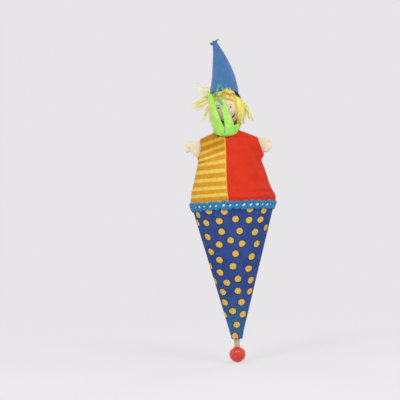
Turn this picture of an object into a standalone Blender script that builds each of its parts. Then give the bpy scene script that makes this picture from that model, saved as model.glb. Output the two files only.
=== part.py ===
"""Pop-up cone puppet: a clown on a stick that slides through the tip of a card cone.

The origin is the centre of the grip ball, +Z runs up the stick, the face looks along -Y.
"""

import math

import bmesh
import bpy
from mathutils import Matrix, Vector

MM = 0.001

# Gap kept between neighbouring surfaces
GAP = 0.3 * MM

# Stick and grip ball
BALL_DIAMETER = 15.0 * MM
BALL_SOCKET_DEPTH = 10.0 * MM
STICK_DIAMETER = 5.0 * MM
STICK_SHOWING = 7.5 * MM
STICK_IN_HEAD = 30.0 * MM

# Cone
CONE_HEIGHT = 124.5 * MM
CONE_RIM_RADIUS = 38.7 * MM
CARD_THICKNESS = 1.2 * MM
COVER_THICKNESS = 0.5 * MM

# Dress
CLOTH_THICKNESS = 0.5 * MM
DRESS_HEIGHT = 67.5 * MM
HEM_OVERLAP = 6.0 * MM
ARMPIT_DROP = 30.5 * MM
ARMPIT_HALF_WIDTH = 29.3 * MM
SLEEVE_BOTTOM_DROP = 26.5 * MM
SLEEVE_BOTTOM_HALF_WIDTH = 30.3 * MM
SHOULDER_DROP = 8.5 * MM
SHOULDER_HALF_WIDTH = 26.2 * MM
SHOULDER_HALF_DEPTH = 10.5 * MM
FOLD_DEPTH = 0.7 * MM
FOLD_COUNT = 12

# Braid over the hem
BRAID_HEIGHT = 8.5 * MM
BRAID_ABOVE_RIM = 1.3 * MM
BRAID_THICKNESS = 0.8 * MM
BRAID_SCALLOPS = 38
BRAID_SCALLOP_DEPTH = 0.6 * MM

# Hands
HAND_THICKNESS = 2.4 * MM
HAND_REACH = 40.0 * MM
HAND_TUCK = 4.0 * MM
HAND_BELOW_SHOULDER = 1.5 * MM
HAND_HEIGHT = 13.5 * MM
SLEEVE_OPENING_ROOM = 2.0 * MM
THUMB_LENGTH = 4.2 * MM
ARM_PIVOT_OFFSET = 2.0 * MM
ARM_PIVOT_RISE = 1.0 * MM

# Head
HEAD_HALF_WIDTH = 13.5 * MM
HEAD_HALF_HEIGHT = 16.0 * MM
NECK_RISE = 2.5 * MM
NECK_RADIUS = 5.8 * MM
NECK_FOOT_RADIUS = 7.0 * MM
NECK_FOOT_HEIGHT = 2.0 * MM
NECK_FOOT_DROP = 5.5 * MM
BINDING_THICKNESS = 1.2 * MM
BINDING_HEIGHT = 2.4 * MM

# Hair
HAIR_LAYER = 1.8 * MM
FRINGE_LAYER = 2.2 * MM
TUFT_RISE = 7.0 * MM
TUFT_STRIPED_REACH = 31.0 * MM
TUFT_RED_REACH = 23.0 * MM
TUFT_RED_DROP = 11.0 * MM

# Hat
HAT_CLEARANCE = 0.36 * MM
HAT_SEAT_DROP = 1.5 * MM
HAT_TIP_RADIUS = 1.8 * MM
HAT_HEIGHT = 47.0 * MM
HAT_LEAN = 8.0 * MM
HAT_TAPER = 1.45
HAT_BACK_TILT = math.radians(12.0)
HAT_BASE_SHIFT = Vector((-1.4 * MM, 2.0 * MM, 0.0))
FELT_THICKNESS = 1.2 * MM
INNER_BAND_THICKNESS = 0.6 * MM
INNER_BAND_HEIGHT = 6.0 * MM
TIP_TIE_RADIUS = 1.1 * MM

# Neck ribbon
RIBBON_THICKNESS = 0.8 * MM
RIBBON_ROOM = 2.4 * MM
RIBBON_TOP_RISE = 6.0 * MM
RIBBON_FRONT_DROP = 7.0 * MM
RIBBON_SIDE_DROP = 0.5 * MM
KNOT_WIDTH = 8.0 * MM
KNOT_HEIGHT = 7.0 * MM
KNOT_DEPTH = 4.0 * MM
KNOT_SHIFT = -2.5 * MM
KNOT_DROP = 2.0 * MM
TAIL_WIDTH = 6.0 * MM
TAIL_TIP_WIDTH = 2.2 * MM
TAIL_FACE_ROOM = 2.0 * MM

# Facets
ROUND_STEPS = 32
PANEL_STEPS = 12

# Places worked out from the sizes
BALL_RADIUS = BALL_DIAMETER / 2
STICK_RADIUS = STICK_DIAMETER / 2
SOCKET_RADIUS = STICK_RADIUS + GAP
SOCKET_FLOOR_Z = BALL_RADIUS - BALL_SOCKET_DEPTH
CONE_TIP_Z = BALL_RADIUS + STICK_SHOWING
CONE_RIM_Z = CONE_TIP_Z + CONE_HEIGHT
CONE_TIP_RADIUS = SOCKET_RADIUS + CARD_THICKNESS + GAP + COVER_THICKNESS
CONE_SLOPE = (CONE_RIM_RADIUS - CONE_TIP_RADIUS) / CONE_HEIGHT
TIE_Z = CONE_RIM_Z + DRESS_HEIGHT
HEAD_RISE = HEAD_HALF_HEIGHT + NECK_RISE
HEAD_Z = TIE_Z + HEAD_RISE
NECK_FOOT_Z = TIE_Z - NECK_FOOT_DROP
HEAD_SOCKET_TOP_Z = NECK_FOOT_Z + STICK_IN_HEAD
DRESS_NECK_RADIUS = NECK_RADIUS + GAP + CLOTH_THICKNESS
DRESS_TOP_Z = TIE_Z + BINDING_HEIGHT
HAND_TOP_Z = TIE_Z - SHOULDER_DROP - HAND_BELOW_SHOULDER
HAND_BOTTOM_Z = HAND_TOP_Z - HAND_HEIGHT
SLEEVE_OPENING_LOW_Z = HAND_BOTTOM_Z - SLEEVE_OPENING_ROOM
SLEEVE_OPENING_HIGH_Z = HAND_TOP_Z + SLEEVE_OPENING_ROOM
ARM_PIVOT_Z = TIE_Z + ARM_PIVOT_RISE
HAIR_LIFT = GAP + HAIR_LAYER
HAT_RISE = HEAD_HALF_HEIGHT - HAT_SEAT_DROP
HAT_SEAT_SHARE = HAT_RISE / (HEAD_HALF_HEIGHT + HAIR_LIFT)
HAT_SEAT_RADIUS = (HEAD_HALF_WIDTH + HAIR_LIFT) * math.sqrt(1.0 - HAT_SEAT_SHARE ** 2)
HAT_LINING = FELT_THICKNESS + GAP + INNER_BAND_THICKNESS
HAT_BASE_RADIUS = HAT_SEAT_RADIUS + abs(HAT_BASE_SHIFT.x) + HAT_CLEARANCE + HAT_LINING
NECK_SLOPE = (SHOULDER_HALF_DEPTH - DRESS_NECK_RADIUS) / SHOULDER_DROP
RIBBON_SPREAD = DRESS_NECK_RADIUS + NECK_SLOPE * RIBBON_FRONT_DROP + RIBBON_ROOM


def clear_scene():
    """Remove every object, so that the part starts from nothing."""
    for scene_object in list(bpy.data.objects):
        bpy.data.objects.remove(scene_object, do_unlink=True)


def make_material(name, colour, roughness):
    """A plain non-metallic surface."""
    material = bpy.data.materials.new(name)
    material.use_nodes = True
    shader = material.node_tree.nodes["Principled BSDF"]
    shader.inputs["Base Color"].default_value = (*colour, 1.0)
    shader.inputs["Roughness"].default_value = roughness
    shader.inputs["Metallic"].default_value = 0.0
    return material


def make_carrier(name, place=(0.0, 0.0, 0.0), parent=None):
    """An empty on a joint's axis that carries the pieces of one moving body."""
    carrier = bpy.data.objects.new(name, None)
    carrier.location = place
    carrier.parent = parent
    bpy.context.scene.collection.objects.link(carrier)
    return carrier


def add_piece(name, shape, material, carrier):
    """Turn a bmesh in world places into a named object on its carrier."""
    bmesh.ops.recalc_face_normals(shape, faces=shape.faces[:])
    bmesh.ops.transform(shape, matrix=Matrix.Translation(-carrier.location), verts=shape.verts[:])
    mesh = bpy.data.meshes.new(name)
    shape.to_mesh(mesh)
    shape.free()
    mesh.materials.append(material)
    mesh.shade_smooth()
    mesh.set_sharp_from_angle(angle=math.radians(40.0))
    piece = bpy.data.objects.new(name, mesh)
    piece.parent = carrier
    bpy.context.scene.collection.objects.link(piece)
    return piece


def turned(profile, closed):
    """Spin a profile of (radius, height) points round Z. An open one starts and ends on the axis."""
    shape = bmesh.new()
    corners = [shape.verts.new((radius, 0.0, height)) for radius, height in profile]
    edges = [shape.edges.new(pair) for pair in zip(corners, corners[1:])]
    if closed:
        edges.append(shape.edges.new((corners[-1], corners[0])))
    bmesh.ops.spin(
        shape,
        geom=corners + edges,
        axis=(0.0, 0.0, 1.0),
        cent=(0.0, 0.0, 0.0),
        angle=2 * math.pi,
        steps=ROUND_STEPS,
    )
    bmesh.ops.remove_doubles(shape, verts=shape.verts[:], dist=0.01 * MM)
    return shape


def lofted(rings, loop_closed):
    """Skin a list of closed rings of points. The ends are capped unless the last ring meets the first."""
    shape = bmesh.new()
    rows = [[shape.verts.new(point) for point in ring] for ring in rings]
    count = len(rows[0])
    row_pairs = list(zip(rows, rows[1:]))
    if loop_closed:
        row_pairs.append((rows[-1], rows[0]))
    for lower, upper in row_pairs:
        for column in range(count):
            after = (column + 1) % count
            shape.faces.new((lower[column], lower[after], upper[after], upper[column]))
    if not loop_closed:
        shape.faces.new(rows[0])
        shape.faces.new(rows[-1])
    return shape


def tube(points, radius):
    """A round tube along points that lie in the X-Z plane."""
    sides = 10
    rings = []
    for index, point in enumerate(points):
        before = points[max(index - 1, 0)]
        behind = points[min(index + 1, len(points) - 1)]
        along = (behind - before).normalized()
        across = along.cross(Vector((0.0, 1.0, 0.0))).normalized()
        ring = []
        for side in range(sides):
            turn = 2 * math.pi * side / sides
            ring.append(
                point + across * radius * math.cos(turn) + Vector((0.0, radius * math.sin(turn), 0.0))
            )
        rings.append(ring)
    return lofted(rings, loop_closed=False)


def blend_between(stations, position):
    """Read a list of (position, values) stations with straight lines between them."""
    for (low, low_values), (high, high_values) in zip(stations, stations[1:]):
        if position <= high:
            share = (position - low) / (high - low)
            return [a + (b - a) * share for a, b in zip(low_values, high_values)]
    return list(stations[-1][1])


def smooth_curve(points, steps):
    """Points along a smooth curve through the given ones."""
    ends = [points[0] * 2 - points[1]] + points + [points[-1] * 2 - points[-2]]
    curve = []
    for first, start, stop, last in zip(ends, ends[1:], ends[2:], ends[3:]):
        for step in range(steps):
            t = step / steps
            curve.append(
                0.5 * (
                    2 * start
                    + (stop - first) * t
                    + (2 * first - 5 * start + 4 * stop - last) * t ** 2
                    + (3 * start - first - 3 * stop + last) * t ** 3
                )
            )
    curve.append(points[-1])
    return curve


def cone_radius(z):
    """Outer radius of the covered cone at a height."""
    return CONE_TIP_RADIUS + CONE_SLOPE * (z - CONE_TIP_Z)


def head_radius(z):
    """Radius of the head's round part at a height."""
    share = (z - HEAD_Z) / HEAD_HALF_HEIGHT
    return HEAD_HALF_WIDTH * math.sqrt(max(0.0, 1.0 - share ** 2))


def head_point(angle, polar, lift):
    """A point above the head's round part, at an angle round Z and an angle down from the crown."""
    radius = (HEAD_HALF_WIDTH + lift) * math.sin(polar)
    height = HEAD_Z + (HEAD_HALF_HEIGHT + lift) * math.cos(polar)
    return Vector((radius * math.cos(angle), radius * math.sin(angle), height))


def build_grip_ball(carrier):
    arc_start = math.asin(SOCKET_RADIUS / BALL_RADIUS)
    arc_steps = 12
    profile = [(0.0, SOCKET_FLOOR_Z), (SOCKET_RADIUS, SOCKET_FLOOR_Z)]
    for step in range(arc_steps + 1):
        polar = arc_start + (math.pi - arc_start) * step / arc_steps
        profile.append((BALL_RADIUS * math.sin(polar), BALL_RADIUS * math.cos(polar)))
    material = make_material("red_lacquer", (0.70, 0.06, 0.03), 0.25)
    add_piece("grip_ball", turned(profile, closed=False), material, carrier)


def build_stick(carrier):
    bottom = SOCKET_FLOOR_Z + GAP
    top = HEAD_SOCKET_TOP_Z - GAP
    profile = [(0.0, top), (STICK_RADIUS, top), (STICK_RADIUS, bottom), (0.0, bottom)]
    material = make_material("bare_wood", (0.60, 0.45, 0.31), 0.6)
    add_piece("stick", turned(profile, closed=False), material, carrier)


def build_head(carrier):
    """Turned head with a neck and a foot below the place where the dress is tied."""
    neck_share = math.sqrt(1.0 - (NECK_RADIUS / HEAD_HALF_WIDTH) ** 2)
    neck_polar = math.acos(-neck_share)
    foot_top = NECK_FOOT_Z + NECK_FOOT_HEIGHT
    arc_steps = 15
    profile = []
    for step in range(arc_steps + 1):
        polar = neck_polar * step / arc_steps
        profile.append(
            (HEAD_HALF_WIDTH * math.sin(polar), HEAD_Z + HEAD_HALF_HEIGHT * math.cos(polar))
        )
    profile += [
        (NECK_RADIUS, foot_top),
        (NECK_FOOT_RADIUS, foot_top),
        (NECK_FOOT_RADIUS, NECK_FOOT_Z),
        (SOCKET_RADIUS, NECK_FOOT_Z),
        (SOCKET_RADIUS, HEAD_SOCKET_TOP_Z),
        (0.0, HEAD_SOCKET_TOP_Z),
    ]
    material = make_material("painted_skin", (0.77, 0.60, 0.44), 0.5)
    add_piece("head", turned(profile, closed=False), material, carrier)


def build_cone(carrier):
    """Card cone with a cloth cover glued on it."""
    layers = [
        ("cone_card", COVER_THICKNESS + GAP, CARD_THICKNESS, (0.45, 0.38, 0.30)),
        ("cone_cover", 0.0, COVER_THICKNESS, (0.05, 0.08, 0.29)),
    ]
    for name, depth, thickness, colour in layers:
        profile = [
            (CONE_RIM_RADIUS - depth, CONE_RIM_Z),
            (CONE_TIP_RADIUS - depth, CONE_TIP_Z),
            (CONE_TIP_RADIUS - depth - thickness, CONE_TIP_Z),
            (CONE_RIM_RADIUS - depth - thickness, CONE_RIM_Z),
        ]
        add_piece(name, turned(profile, closed=True), make_material(name, colour, 0.85), carrier)


def build_braid(carrier):
    """Scalloped band round the hem, on the outside of the cone's rim."""
    top = CONE_RIM_Z + BRAID_ABOVE_RIM
    bottom = top - BRAID_HEIGHT
    seat = GAP + CLOTH_THICKNESS + GAP
    steps_each = 4
    steps = BRAID_SCALLOPS * steps_each
    rings = []
    for step in range(steps):
        angle = 2 * math.pi * step / steps
        scallop = BRAID_SCALLOP_DEPTH * math.cos(2 * math.pi * step / steps_each) / 2
        ring = []
        for height, lift in (
            (top + scallop, 0.0),
            (top + scallop, BRAID_THICKNESS),
            (CONE_RIM_Z, BRAID_THICKNESS),
            (bottom - scallop, BRAID_THICKNESS),
            (bottom - scallop, 0.0),
            (CONE_RIM_Z, 0.0),
        ):
            radius = cone_radius(min(height, CONE_RIM_Z)) + seat + lift
            ring.append((radius * math.cos(angle), radius * math.sin(angle), height))
        rings.append(ring)
    material = make_material("blue_braid", (0.015, 0.19, 0.45), 0.7)
    add_piece("rim_braid", lofted(rings, loop_closed=True), material, carrier)


def dress_stations():
    """Half width and half depth of the dress, outside, from the hem to the tied neck."""
    hem_z = CONE_RIM_Z - HEM_OVERLAP
    lift = GAP + CLOTH_THICKNESS
    hem = cone_radius(hem_z) + lift
    rim = CONE_RIM_RADIUS + lift
    rim_top = CONE_RIM_Z + GAP
    shoulder_z = TIE_Z - SHOULDER_DROP

    def depth(z):
        share = (z - rim_top) / (shoulder_z - rim_top)
        return rim + (SHOULDER_HALF_DEPTH - rim) * share

    armpit_z = TIE_Z - ARMPIT_DROP
    sleeve_z = TIE_Z - SLEEVE_BOTTOM_DROP
    neck = (DRESS_NECK_RADIUS, DRESS_NECK_RADIUS)
    return [
        (hem_z, (hem, hem)),
        (rim_top, (rim, rim)),
        (armpit_z, (ARMPIT_HALF_WIDTH, depth(armpit_z))),
        (sleeve_z, (SLEEVE_BOTTOM_HALF_WIDTH, depth(sleeve_z))),
        (shoulder_z, (SHOULDER_HALF_WIDTH, SHOULDER_HALF_DEPTH)),
        (TIE_Z - GAP, neck),
        (DRESS_TOP_Z, neck),
    ]


def dress_heights(stations):
    """Rows of the dress: each station, the ends of the sleeve's opening, and more on long stretches."""
    row_spacing = 5.0 * MM
    heights = [stations[0][0], SLEEVE_OPENING_LOW_Z, SLEEVE_OPENING_HIGH_Z]
    for (low, _), (high, _) in zip(stations, stations[1:]):
        rows = max(1, round((high - low) / row_spacing))
        heights += [low + (high - low) * (row + 1) / rows for row in range(rows)]
    return sorted(heights)


def build_dress_panel(name, side, face, material, carrier):
    """One quarter of the dress. Side is -1 or 1 along X, face is -1 in front and 1 behind."""
    stations = dress_stations()
    rim_top = stations[1][0]
    hand_room = HAND_THICKNESS / 2 + GAP
    rings = []
    for z in dress_heights(stations):
        half_width, half_depth = blend_between(stations, z)
        in_opening = SLEEVE_OPENING_LOW_Z <= z <= SLEEVE_OPENING_HIGH_Z
        side_gap = hand_room if in_opening else GAP / 2
        start = math.asin(side_gap / (half_depth - CLOTH_THICKNESS))
        stop = math.pi / 2 - GAP / 2 / half_width
        free = (z - rim_top) / (TIE_Z - rim_top)
        fold_share = math.sin(math.pi * min(1.0, max(0.0, free)))
        outer = []
        inner = []
        for step in range(PANEL_STEPS + 1):
            turn = start + (stop - start) * step / PANEL_STEPS
            fold = FOLD_DEPTH * fold_share * math.sin(FOLD_COUNT * turn)
            for points, sink in ((outer, 0.0), (inner, CLOTH_THICKNESS)):
                points.append(Vector((
                    side * (half_width - sink + fold) * math.cos(turn),
                    face * (half_depth - sink + fold) * math.sin(turn),
                    z,
                )))
        rings.append(outer + inner[::-1])
    add_piece(name, lofted(rings, loop_closed=False), material, carrier)


def build_dress(carrier):
    striped = make_material("striped_cotton", (0.76, 0.42, 0.06), 0.85)
    red = make_material("red_cotton", (0.74, 0.045, 0.02), 0.85)
    build_dress_panel("dress_front_striped", -1, -1, striped, carrier)
    build_dress_panel("dress_front_red", 1, -1, red, carrier)
    build_dress_panel("dress_back_striped", -1, 1, striped, carrier)
    build_dress_panel("dress_back_red", 1, 1, red, carrier)


def hand_outline():
    """Mitten in the X-Z plane, pointing along +X, with its thumb below."""
    wrist_x = SHOULDER_HALF_WIDTH - HAND_TUCK
    tip_x = HAND_REACH
    palm_low_z = HAND_BOTTOM_Z + THUMB_LENGTH
    finger_radius = (HAND_TOP_Z - palm_low_z) / 2
    finger_x = tip_x - finger_radius
    middle_z = palm_low_z + finger_radius
    outline = [(wrist_x, HAND_TOP_Z)]
    arc_steps = 10
    for step in range(arc_steps + 1):
        turn = math.pi / 2 - math.pi * step / arc_steps
        outline.append((
            finger_x + finger_radius * math.cos(turn),
            middle_z + finger_radius * math.sin(turn),
        ))
    thumb_radius = THUMB_LENGTH / 2
    thumb_x = finger_x - thumb_radius
    thumb_z = HAND_BOTTOM_Z + thumb_radius
    for step in range(arc_steps // 2 + 1):
        turn = math.pi / 3 - math.pi * 5 / 6 * step / (arc_steps // 2)
        outline.append((thumb_x + thumb_radius * math.cos(turn), thumb_z + thumb_radius * math.sin(turn)))
    outline.append((wrist_x, HAND_BOTTOM_Z + thumb_radius / 2))
    return outline


def build_hand(name, side, carrier):
    """Flat felt mitten with softened edges, tucked into the sleeve."""
    outline = hand_outline()
    centre_x = sum(x for x, _ in outline) / len(outline)
    centre_z = sum(z for _, z in outline) / len(outline)
    edge_shrink = 0.94
    half = HAND_THICKNESS / 2
    layers = [(-half, edge_shrink), (-half / 2, 1.0), (half / 2, 1.0), (half, edge_shrink)]
    rings = []
    for y, scale in layers:
        rings.append([
            (side * (centre_x + (x - centre_x) * scale), y, centre_z + (z - centre_z) * scale)
            for x, z in outline
        ])
    material = make_material(name + "_felt", (0.77, 0.70, 0.48), 0.9)
    add_piece(name, lofted(rings, loop_closed=False), material, carrier)


def build_binding(carrier):
    """Thread that ties the neck of the dress."""
    inner = DRESS_NECK_RADIUS + GAP
    outer = inner + BINDING_THICKNESS
    bottom = TIE_Z
    top = TIE_Z + BINDING_HEIGHT - GAP
    profile = [(outer, top), (outer, bottom), (inner, bottom), (inner, top)]
    material = make_material("binding_thread", (0.75, 0.72, 0.65), 0.9)
    add_piece("neck_binding", turned(profile, closed=True), material, carrier)


def build_hair(carrier):
    material = make_material("yellow_fibre", (0.80, 0.70, 0.10), 0.8)
    build_crown(material, carrier)
    build_fringe(material, carrier)
    build_tufts(material, carrier)


def crown_limit(angle):
    """How far down from the crown the hair reaches: short in front, long behind."""
    front = math.radians(40.0)
    side = math.radians(76.0)
    back = math.radians(108.0)
    toward_back = math.sin(angle)
    if toward_back > 0.0:
        return side + (back - side) * toward_back
    return side + (front - side) * -toward_back


def build_crown(material, carrier):
    """Hair laid over the crown and down the back of the head."""
    shape = bmesh.new()
    rows = 7
    skins = []
    for lift in (HAIR_LIFT, GAP):
        pole = shape.verts.new(head_point(0.0, 0.0, lift))
        grid = []
        for row in range(1, rows + 1):
            ring = []
            for step in range(ROUND_STEPS):
                angle = 2 * math.pi * step / ROUND_STEPS
                ring.append(shape.verts.new(head_point(angle, crown_limit(angle) * row / rows, lift)))
            grid.append(ring)
        skins.append((pole, grid))
    for step in range(ROUND_STEPS):
        after = (step + 1) % ROUND_STEPS
        for pole, grid in skins:
            shape.faces.new((pole, grid[0][step], grid[0][after]))
            for upper, lower in zip(grid, grid[1:]):
                shape.faces.new((upper[step], lower[step], lower[after], upper[after]))
        outer_edge = skins[0][1][-1]
        inner_edge = skins[1][1][-1]
        shape.faces.new((outer_edge[step], inner_edge[step], inner_edge[after], outer_edge[after]))
    add_piece("hair_crown", shape, material, carrier)


def build_fringe(material, carrier):
    """Hair over the forehead, in front of the crown's edge."""
    steps = 14
    spread = math.radians(58.0)
    seam = math.radians(1.5)
    drop = math.radians(24.0)
    columns = 5
    rings = []
    for step in range(steps + 1):
        offset = -spread + 2 * spread * step / steps
        angle = -math.pi / 2 + offset
        low = crown_limit(angle) + seam
        high = low + drop * (1.0 - 0.6 * abs(offset) / spread)
        outer = []
        inner = []
        for column in range(columns):
            polar = low + (high - low) * column / (columns - 1)
            outer.append(head_point(angle, polar, GAP + FRINGE_LAYER))
            inner.append(head_point(angle, polar, GAP))
        rings.append(outer + inner[::-1])
    shape = lofted(rings, loop_closed=False)
    add_piece("hair_fringe", shape, material, carrier)


def build_tufts(material, carrier):
    """Loose ends that stick out at the sides: a fan on one side, a drooping lock on the other."""
    root = HEAD_HALF_WIDTH + HAIR_LIFT + GAP
    root_z = HEAD_Z + TUFT_RISE
    fan_length = TUFT_STRIPED_REACH - root
    fan = [
        (Vector((-root - fan_length * share, 0.0, root_z + rise)), half_height, half_depth)
        for share, rise, half_height, half_depth in (
            (0.00, 0.0, 5.0 * MM, 4.0 * MM),
            (0.30, 0.5 * MM, 8.0 * MM, 4.6 * MM),
            (0.65, 0.0, 9.0 * MM, 4.0 * MM),
            (0.90, -0.5 * MM, 6.0 * MM, 2.6 * MM),
            (1.00, -0.5 * MM, 2.5 * MM, 1.2 * MM),
        )
    ]
    lock_length = TUFT_RED_REACH - root
    lock = [
        (Vector((root + lock_length * share, 0.0, root_z - TUFT_RED_DROP * drop)), half_height, half_depth)
        for share, drop, half_height, half_depth in (
            (0.00, 0.0, 5.0 * MM, 4.0 * MM),
            (0.35, 0.25, 5.0 * MM, 4.4 * MM),
            (0.75, 0.70, 4.6 * MM, 3.4 * MM),
            (1.00, 1.20, 2.6 * MM, 1.4 * MM),
        )
    ]
    sides = 14
    for name, stations in (("hair_tuft_striped_side", fan), ("hair_tuft_red_side", lock)):
        rings = []
        for centre, half_height, half_depth in stations:
            ring = []
            for step in range(sides):
                turn = 2 * math.pi * step / sides
                ring.append(centre + Vector((
                    0.0, half_depth * math.cos(turn), half_height * math.sin(turn)
                )))
            rings.append(ring)
        add_piece(name, lofted(rings, loop_closed=False), material, carrier)


def hat_ring(share, sink):
    """A ring of the leaning hat at a share of its height, sunk inwards by some thickness."""
    radius = HAT_TIP_RADIUS + (HAT_BASE_RADIUS - HAT_TIP_RADIUS) * (1.0 - share ** HAT_TAPER) - sink
    tilt = HAT_BACK_TILT * (1.0 - share)
    centre = HAT_BASE_SHIFT + Vector((
        -HAT_LEAN * share ** 2, -HAT_BASE_SHIFT.y * share / 2, HEAD_Z + HAT_RISE + HAT_HEIGHT * share
    ))
    ring = []
    for step in range(ROUND_STEPS):
        turn = 2 * math.pi * step / ROUND_STEPS
        across = radius * math.cos(turn)
        back = radius * math.sin(turn)
        ring.append(centre + Vector((across, back * math.cos(tilt), -back * math.sin(tilt))))
    return ring


def build_hat(carrier):
    """Felt hat, its inner band and the tie round its tip."""
    rows = 10
    hollow_top = 0.86
    shares = [row / rows for row in range(rows + 1)]
    shape = bmesh.new()
    outer_rows = [[shape.verts.new(point) for point in hat_ring(share, 0.0)] for share in shares]
    inner_rows = [
        [shape.verts.new(point) for point in hat_ring(share * hollow_top, FELT_THICKNESS)]
        for share in shares
    ]
    for step in range(ROUND_STEPS):
        after = (step + 1) % ROUND_STEPS
        for skin in (outer_rows, inner_rows):
            for lower, upper in zip(skin, skin[1:]):
                shape.faces.new((lower[step], lower[after], upper[after], upper[step]))
        outer_edge = outer_rows[0]
        inner_edge = inner_rows[0]
        shape.faces.new((outer_edge[step], outer_edge[after], inner_edge[after], inner_edge[step]))
    shape.faces.new(outer_rows[-1])
    shape.faces.new(inner_rows[-1])
    add_piece("hat", shape, make_material("blue_felt", (0.07, 0.20, 0.45), 0.95), carrier)

    band_top = INNER_BAND_HEIGHT / HAT_HEIGHT
    outer_sink = FELT_THICKNESS + GAP
    inner_sink = HAT_LINING
    band_rings = [
        hat_ring(0.0, outer_sink),
        hat_ring(band_top / 2, outer_sink),
        hat_ring(band_top, outer_sink),
        hat_ring(band_top, inner_sink),
        hat_ring(band_top / 2, inner_sink),
        hat_ring(0.0, inner_sink),
    ]
    band = lofted(band_rings, loop_closed=True)
    add_piece("hat_inner_band", band, make_material("dark_felt", (0.01, 0.012, 0.03), 0.95), carrier)

    tip = sum(hat_ring(1.0, 0.0), Vector()) / ROUND_STEPS
    lift = TIP_TIE_RADIUS + GAP
    route = [
        tip + Vector((-4.2 * MM, 0.0, lift - 2.2 * MM)),
        tip + Vector((-2.8 * MM, 0.0, lift - 0.2 * MM)),
        tip + Vector((0.0, 0.0, lift + 0.2 * MM)),
        tip + Vector((2.4 * MM, 0.0, lift + 0.9 * MM)),
        tip + Vector((4.0 * MM, 0.0, lift + 1.8 * MM)),
    ]
    tie = tube(smooth_curve(route, 3), TIP_TIE_RADIUS)
    add_piece("hat_tip_tie", tie, make_material("dark_thread", (0.02, 0.02, 0.03), 0.9), carrier)


def ribbon_radius(z):
    """Inner radius of the neck ribbon, which flares from the head down to its lower edge."""
    top_z = TIE_Z + RIBBON_TOP_RISE
    low_z = TIE_Z - RIBBON_FRONT_DROP
    top_radius = head_radius(top_z) + GAP
    share = (z - low_z) / (top_z - low_z)
    return RIBBON_SPREAD + (top_radius - RIBBON_SPREAD) * share


def build_ribbon(carrier):
    """Ribbon round the neck, its knot and two tails that stand up before the face."""
    material = make_material("lime_ribbon", (0.40, 0.82, 0.12), 0.5)
    top_z = TIE_Z + RIBBON_TOP_RISE
    front_z = TIE_Z - RIBBON_FRONT_DROP
    side_z = TIE_Z - RIBBON_SIDE_DROP
    rows = 4
    rings = []
    for step in range(ROUND_STEPS):
        angle = 2 * math.pi * step / ROUND_STEPS
        low_z = front_z + (side_z - front_z) * math.cos(angle) ** 2
        outer = []
        inner = []
        for row in range(rows + 1):
            z = low_z + (top_z - low_z) * row / rows
            for points, lift in ((outer, RIBBON_THICKNESS), (inner, 0.0)):
                radius = ribbon_radius(z) + lift
                points.append(Vector((radius * math.cos(angle), radius * math.sin(angle), z)))
        rings.append(outer + inner[::-1])
    band = lofted(rings, loop_closed=True)
    add_piece("neck_ribbon", band, material, carrier)

    knot_z = TIE_Z - KNOT_DROP
    knot_low = knot_z - KNOT_HEIGHT / 2
    knot_back = -(ribbon_radius(knot_low) + RIBBON_THICKNESS + GAP)
    knot_centre = Vector((KNOT_SHIFT, knot_back - KNOT_DEPTH / 2, knot_z))
    build_knot(knot_centre, material, carrier)
    build_tails(knot_centre, material, carrier)


def build_knot(centre, material, carrier):
    shape = bmesh.new()
    bmesh.ops.create_cube(shape, size=1.0)
    bmesh.ops.scale(shape, vec=(KNOT_WIDTH, KNOT_DEPTH, KNOT_HEIGHT), verts=shape.verts[:])
    bmesh.ops.bevel(
        shape,
        geom=shape.edges[:],
        offset=KNOT_DEPTH * 0.3,
        segments=3,
        profile=0.5,
        affect="EDGES",
    )
    bmesh.ops.translate(shape, vec=centre, verts=shape.verts[:])
    add_piece("ribbon_knot", shape, material, carrier)


def build_tails(knot, material, carrier):
    """Flat tails from the top of the knot. The one on the red side ends in a thin twist."""
    root_z = KNOT_HEIGHT / 2 + GAP
    before_face = Vector((knot.x, -(HEAD_HALF_WIDTH + TAIL_FACE_ROOM), knot.z))
    tails = [
        ("ribbon_tail_striped_side", [
            knot + Vector((-3.2 * MM, 0.0, root_z)),
            before_face + Vector((-7.2 * MM, 0.0, 14.0 * MM)),
            before_face + Vector((-10.2 * MM, -0.4 * MM, 24.0 * MM)),
            before_face + Vector((-12.9 * MM, 0.0, 33.2 * MM)),
        ], 1.0),
        ("ribbon_tail_red_side", [
            knot + Vector((3.4 * MM, 0.0, root_z)),
            before_face + Vector((3.0 * MM, -0.2 * MM, 10.0 * MM)),
            before_face + Vector((1.0 * MM, -0.8 * MM, 18.0 * MM)),
            before_face + Vector((-2.3 * MM, -0.8 * MM, 26.5 * MM)),
            before_face + Vector((-5.8 * MM, -1.0 * MM, 31.0 * MM)),
            before_face + Vector((-6.9 * MM, -1.0 * MM, 34.0 * MM)),
            before_face + Vector((-6.1 * MM, -1.0 * MM, 39.0 * MM)),
            before_face + Vector((-4.8 * MM, -1.0 * MM, 43.3 * MM)),
        ], 0.5),
    ]
    for name, route, wide_share in tails:
        points = smooth_curve(route, 4)
        rings = []
        for index, point in enumerate(points):
            share = index / (len(points) - 1)
            taper = max(0.0, (share - wide_share) / (1.0 - wide_share)) if wide_share < 1.0 else 0.0
            half = (TAIL_WIDTH + (TAIL_TIP_WIDTH - TAIL_WIDTH) * min(1.0, taper * 3.0)) / 2
            before = points[max(index - 1, 0)]
            behind = points[min(index + 1, len(points) - 1)]
            along = (behind - before).normalized()
            across = along.cross(Vector((0.0, 1.0, 0.0))).normalized()
            if index == 0:
                across = Vector((1.0, 0.0, 0.0))
            through = Vector((0.0, RIBBON_THICKNESS / 2, 0.0))
            rings.append([
                point - across * half - through,
                point + across * half - through,
                point + across * half + through,
                point - across * half + through,
            ])
        add_piece(name, lofted(rings, loop_closed=False), material, carrier)


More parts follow.
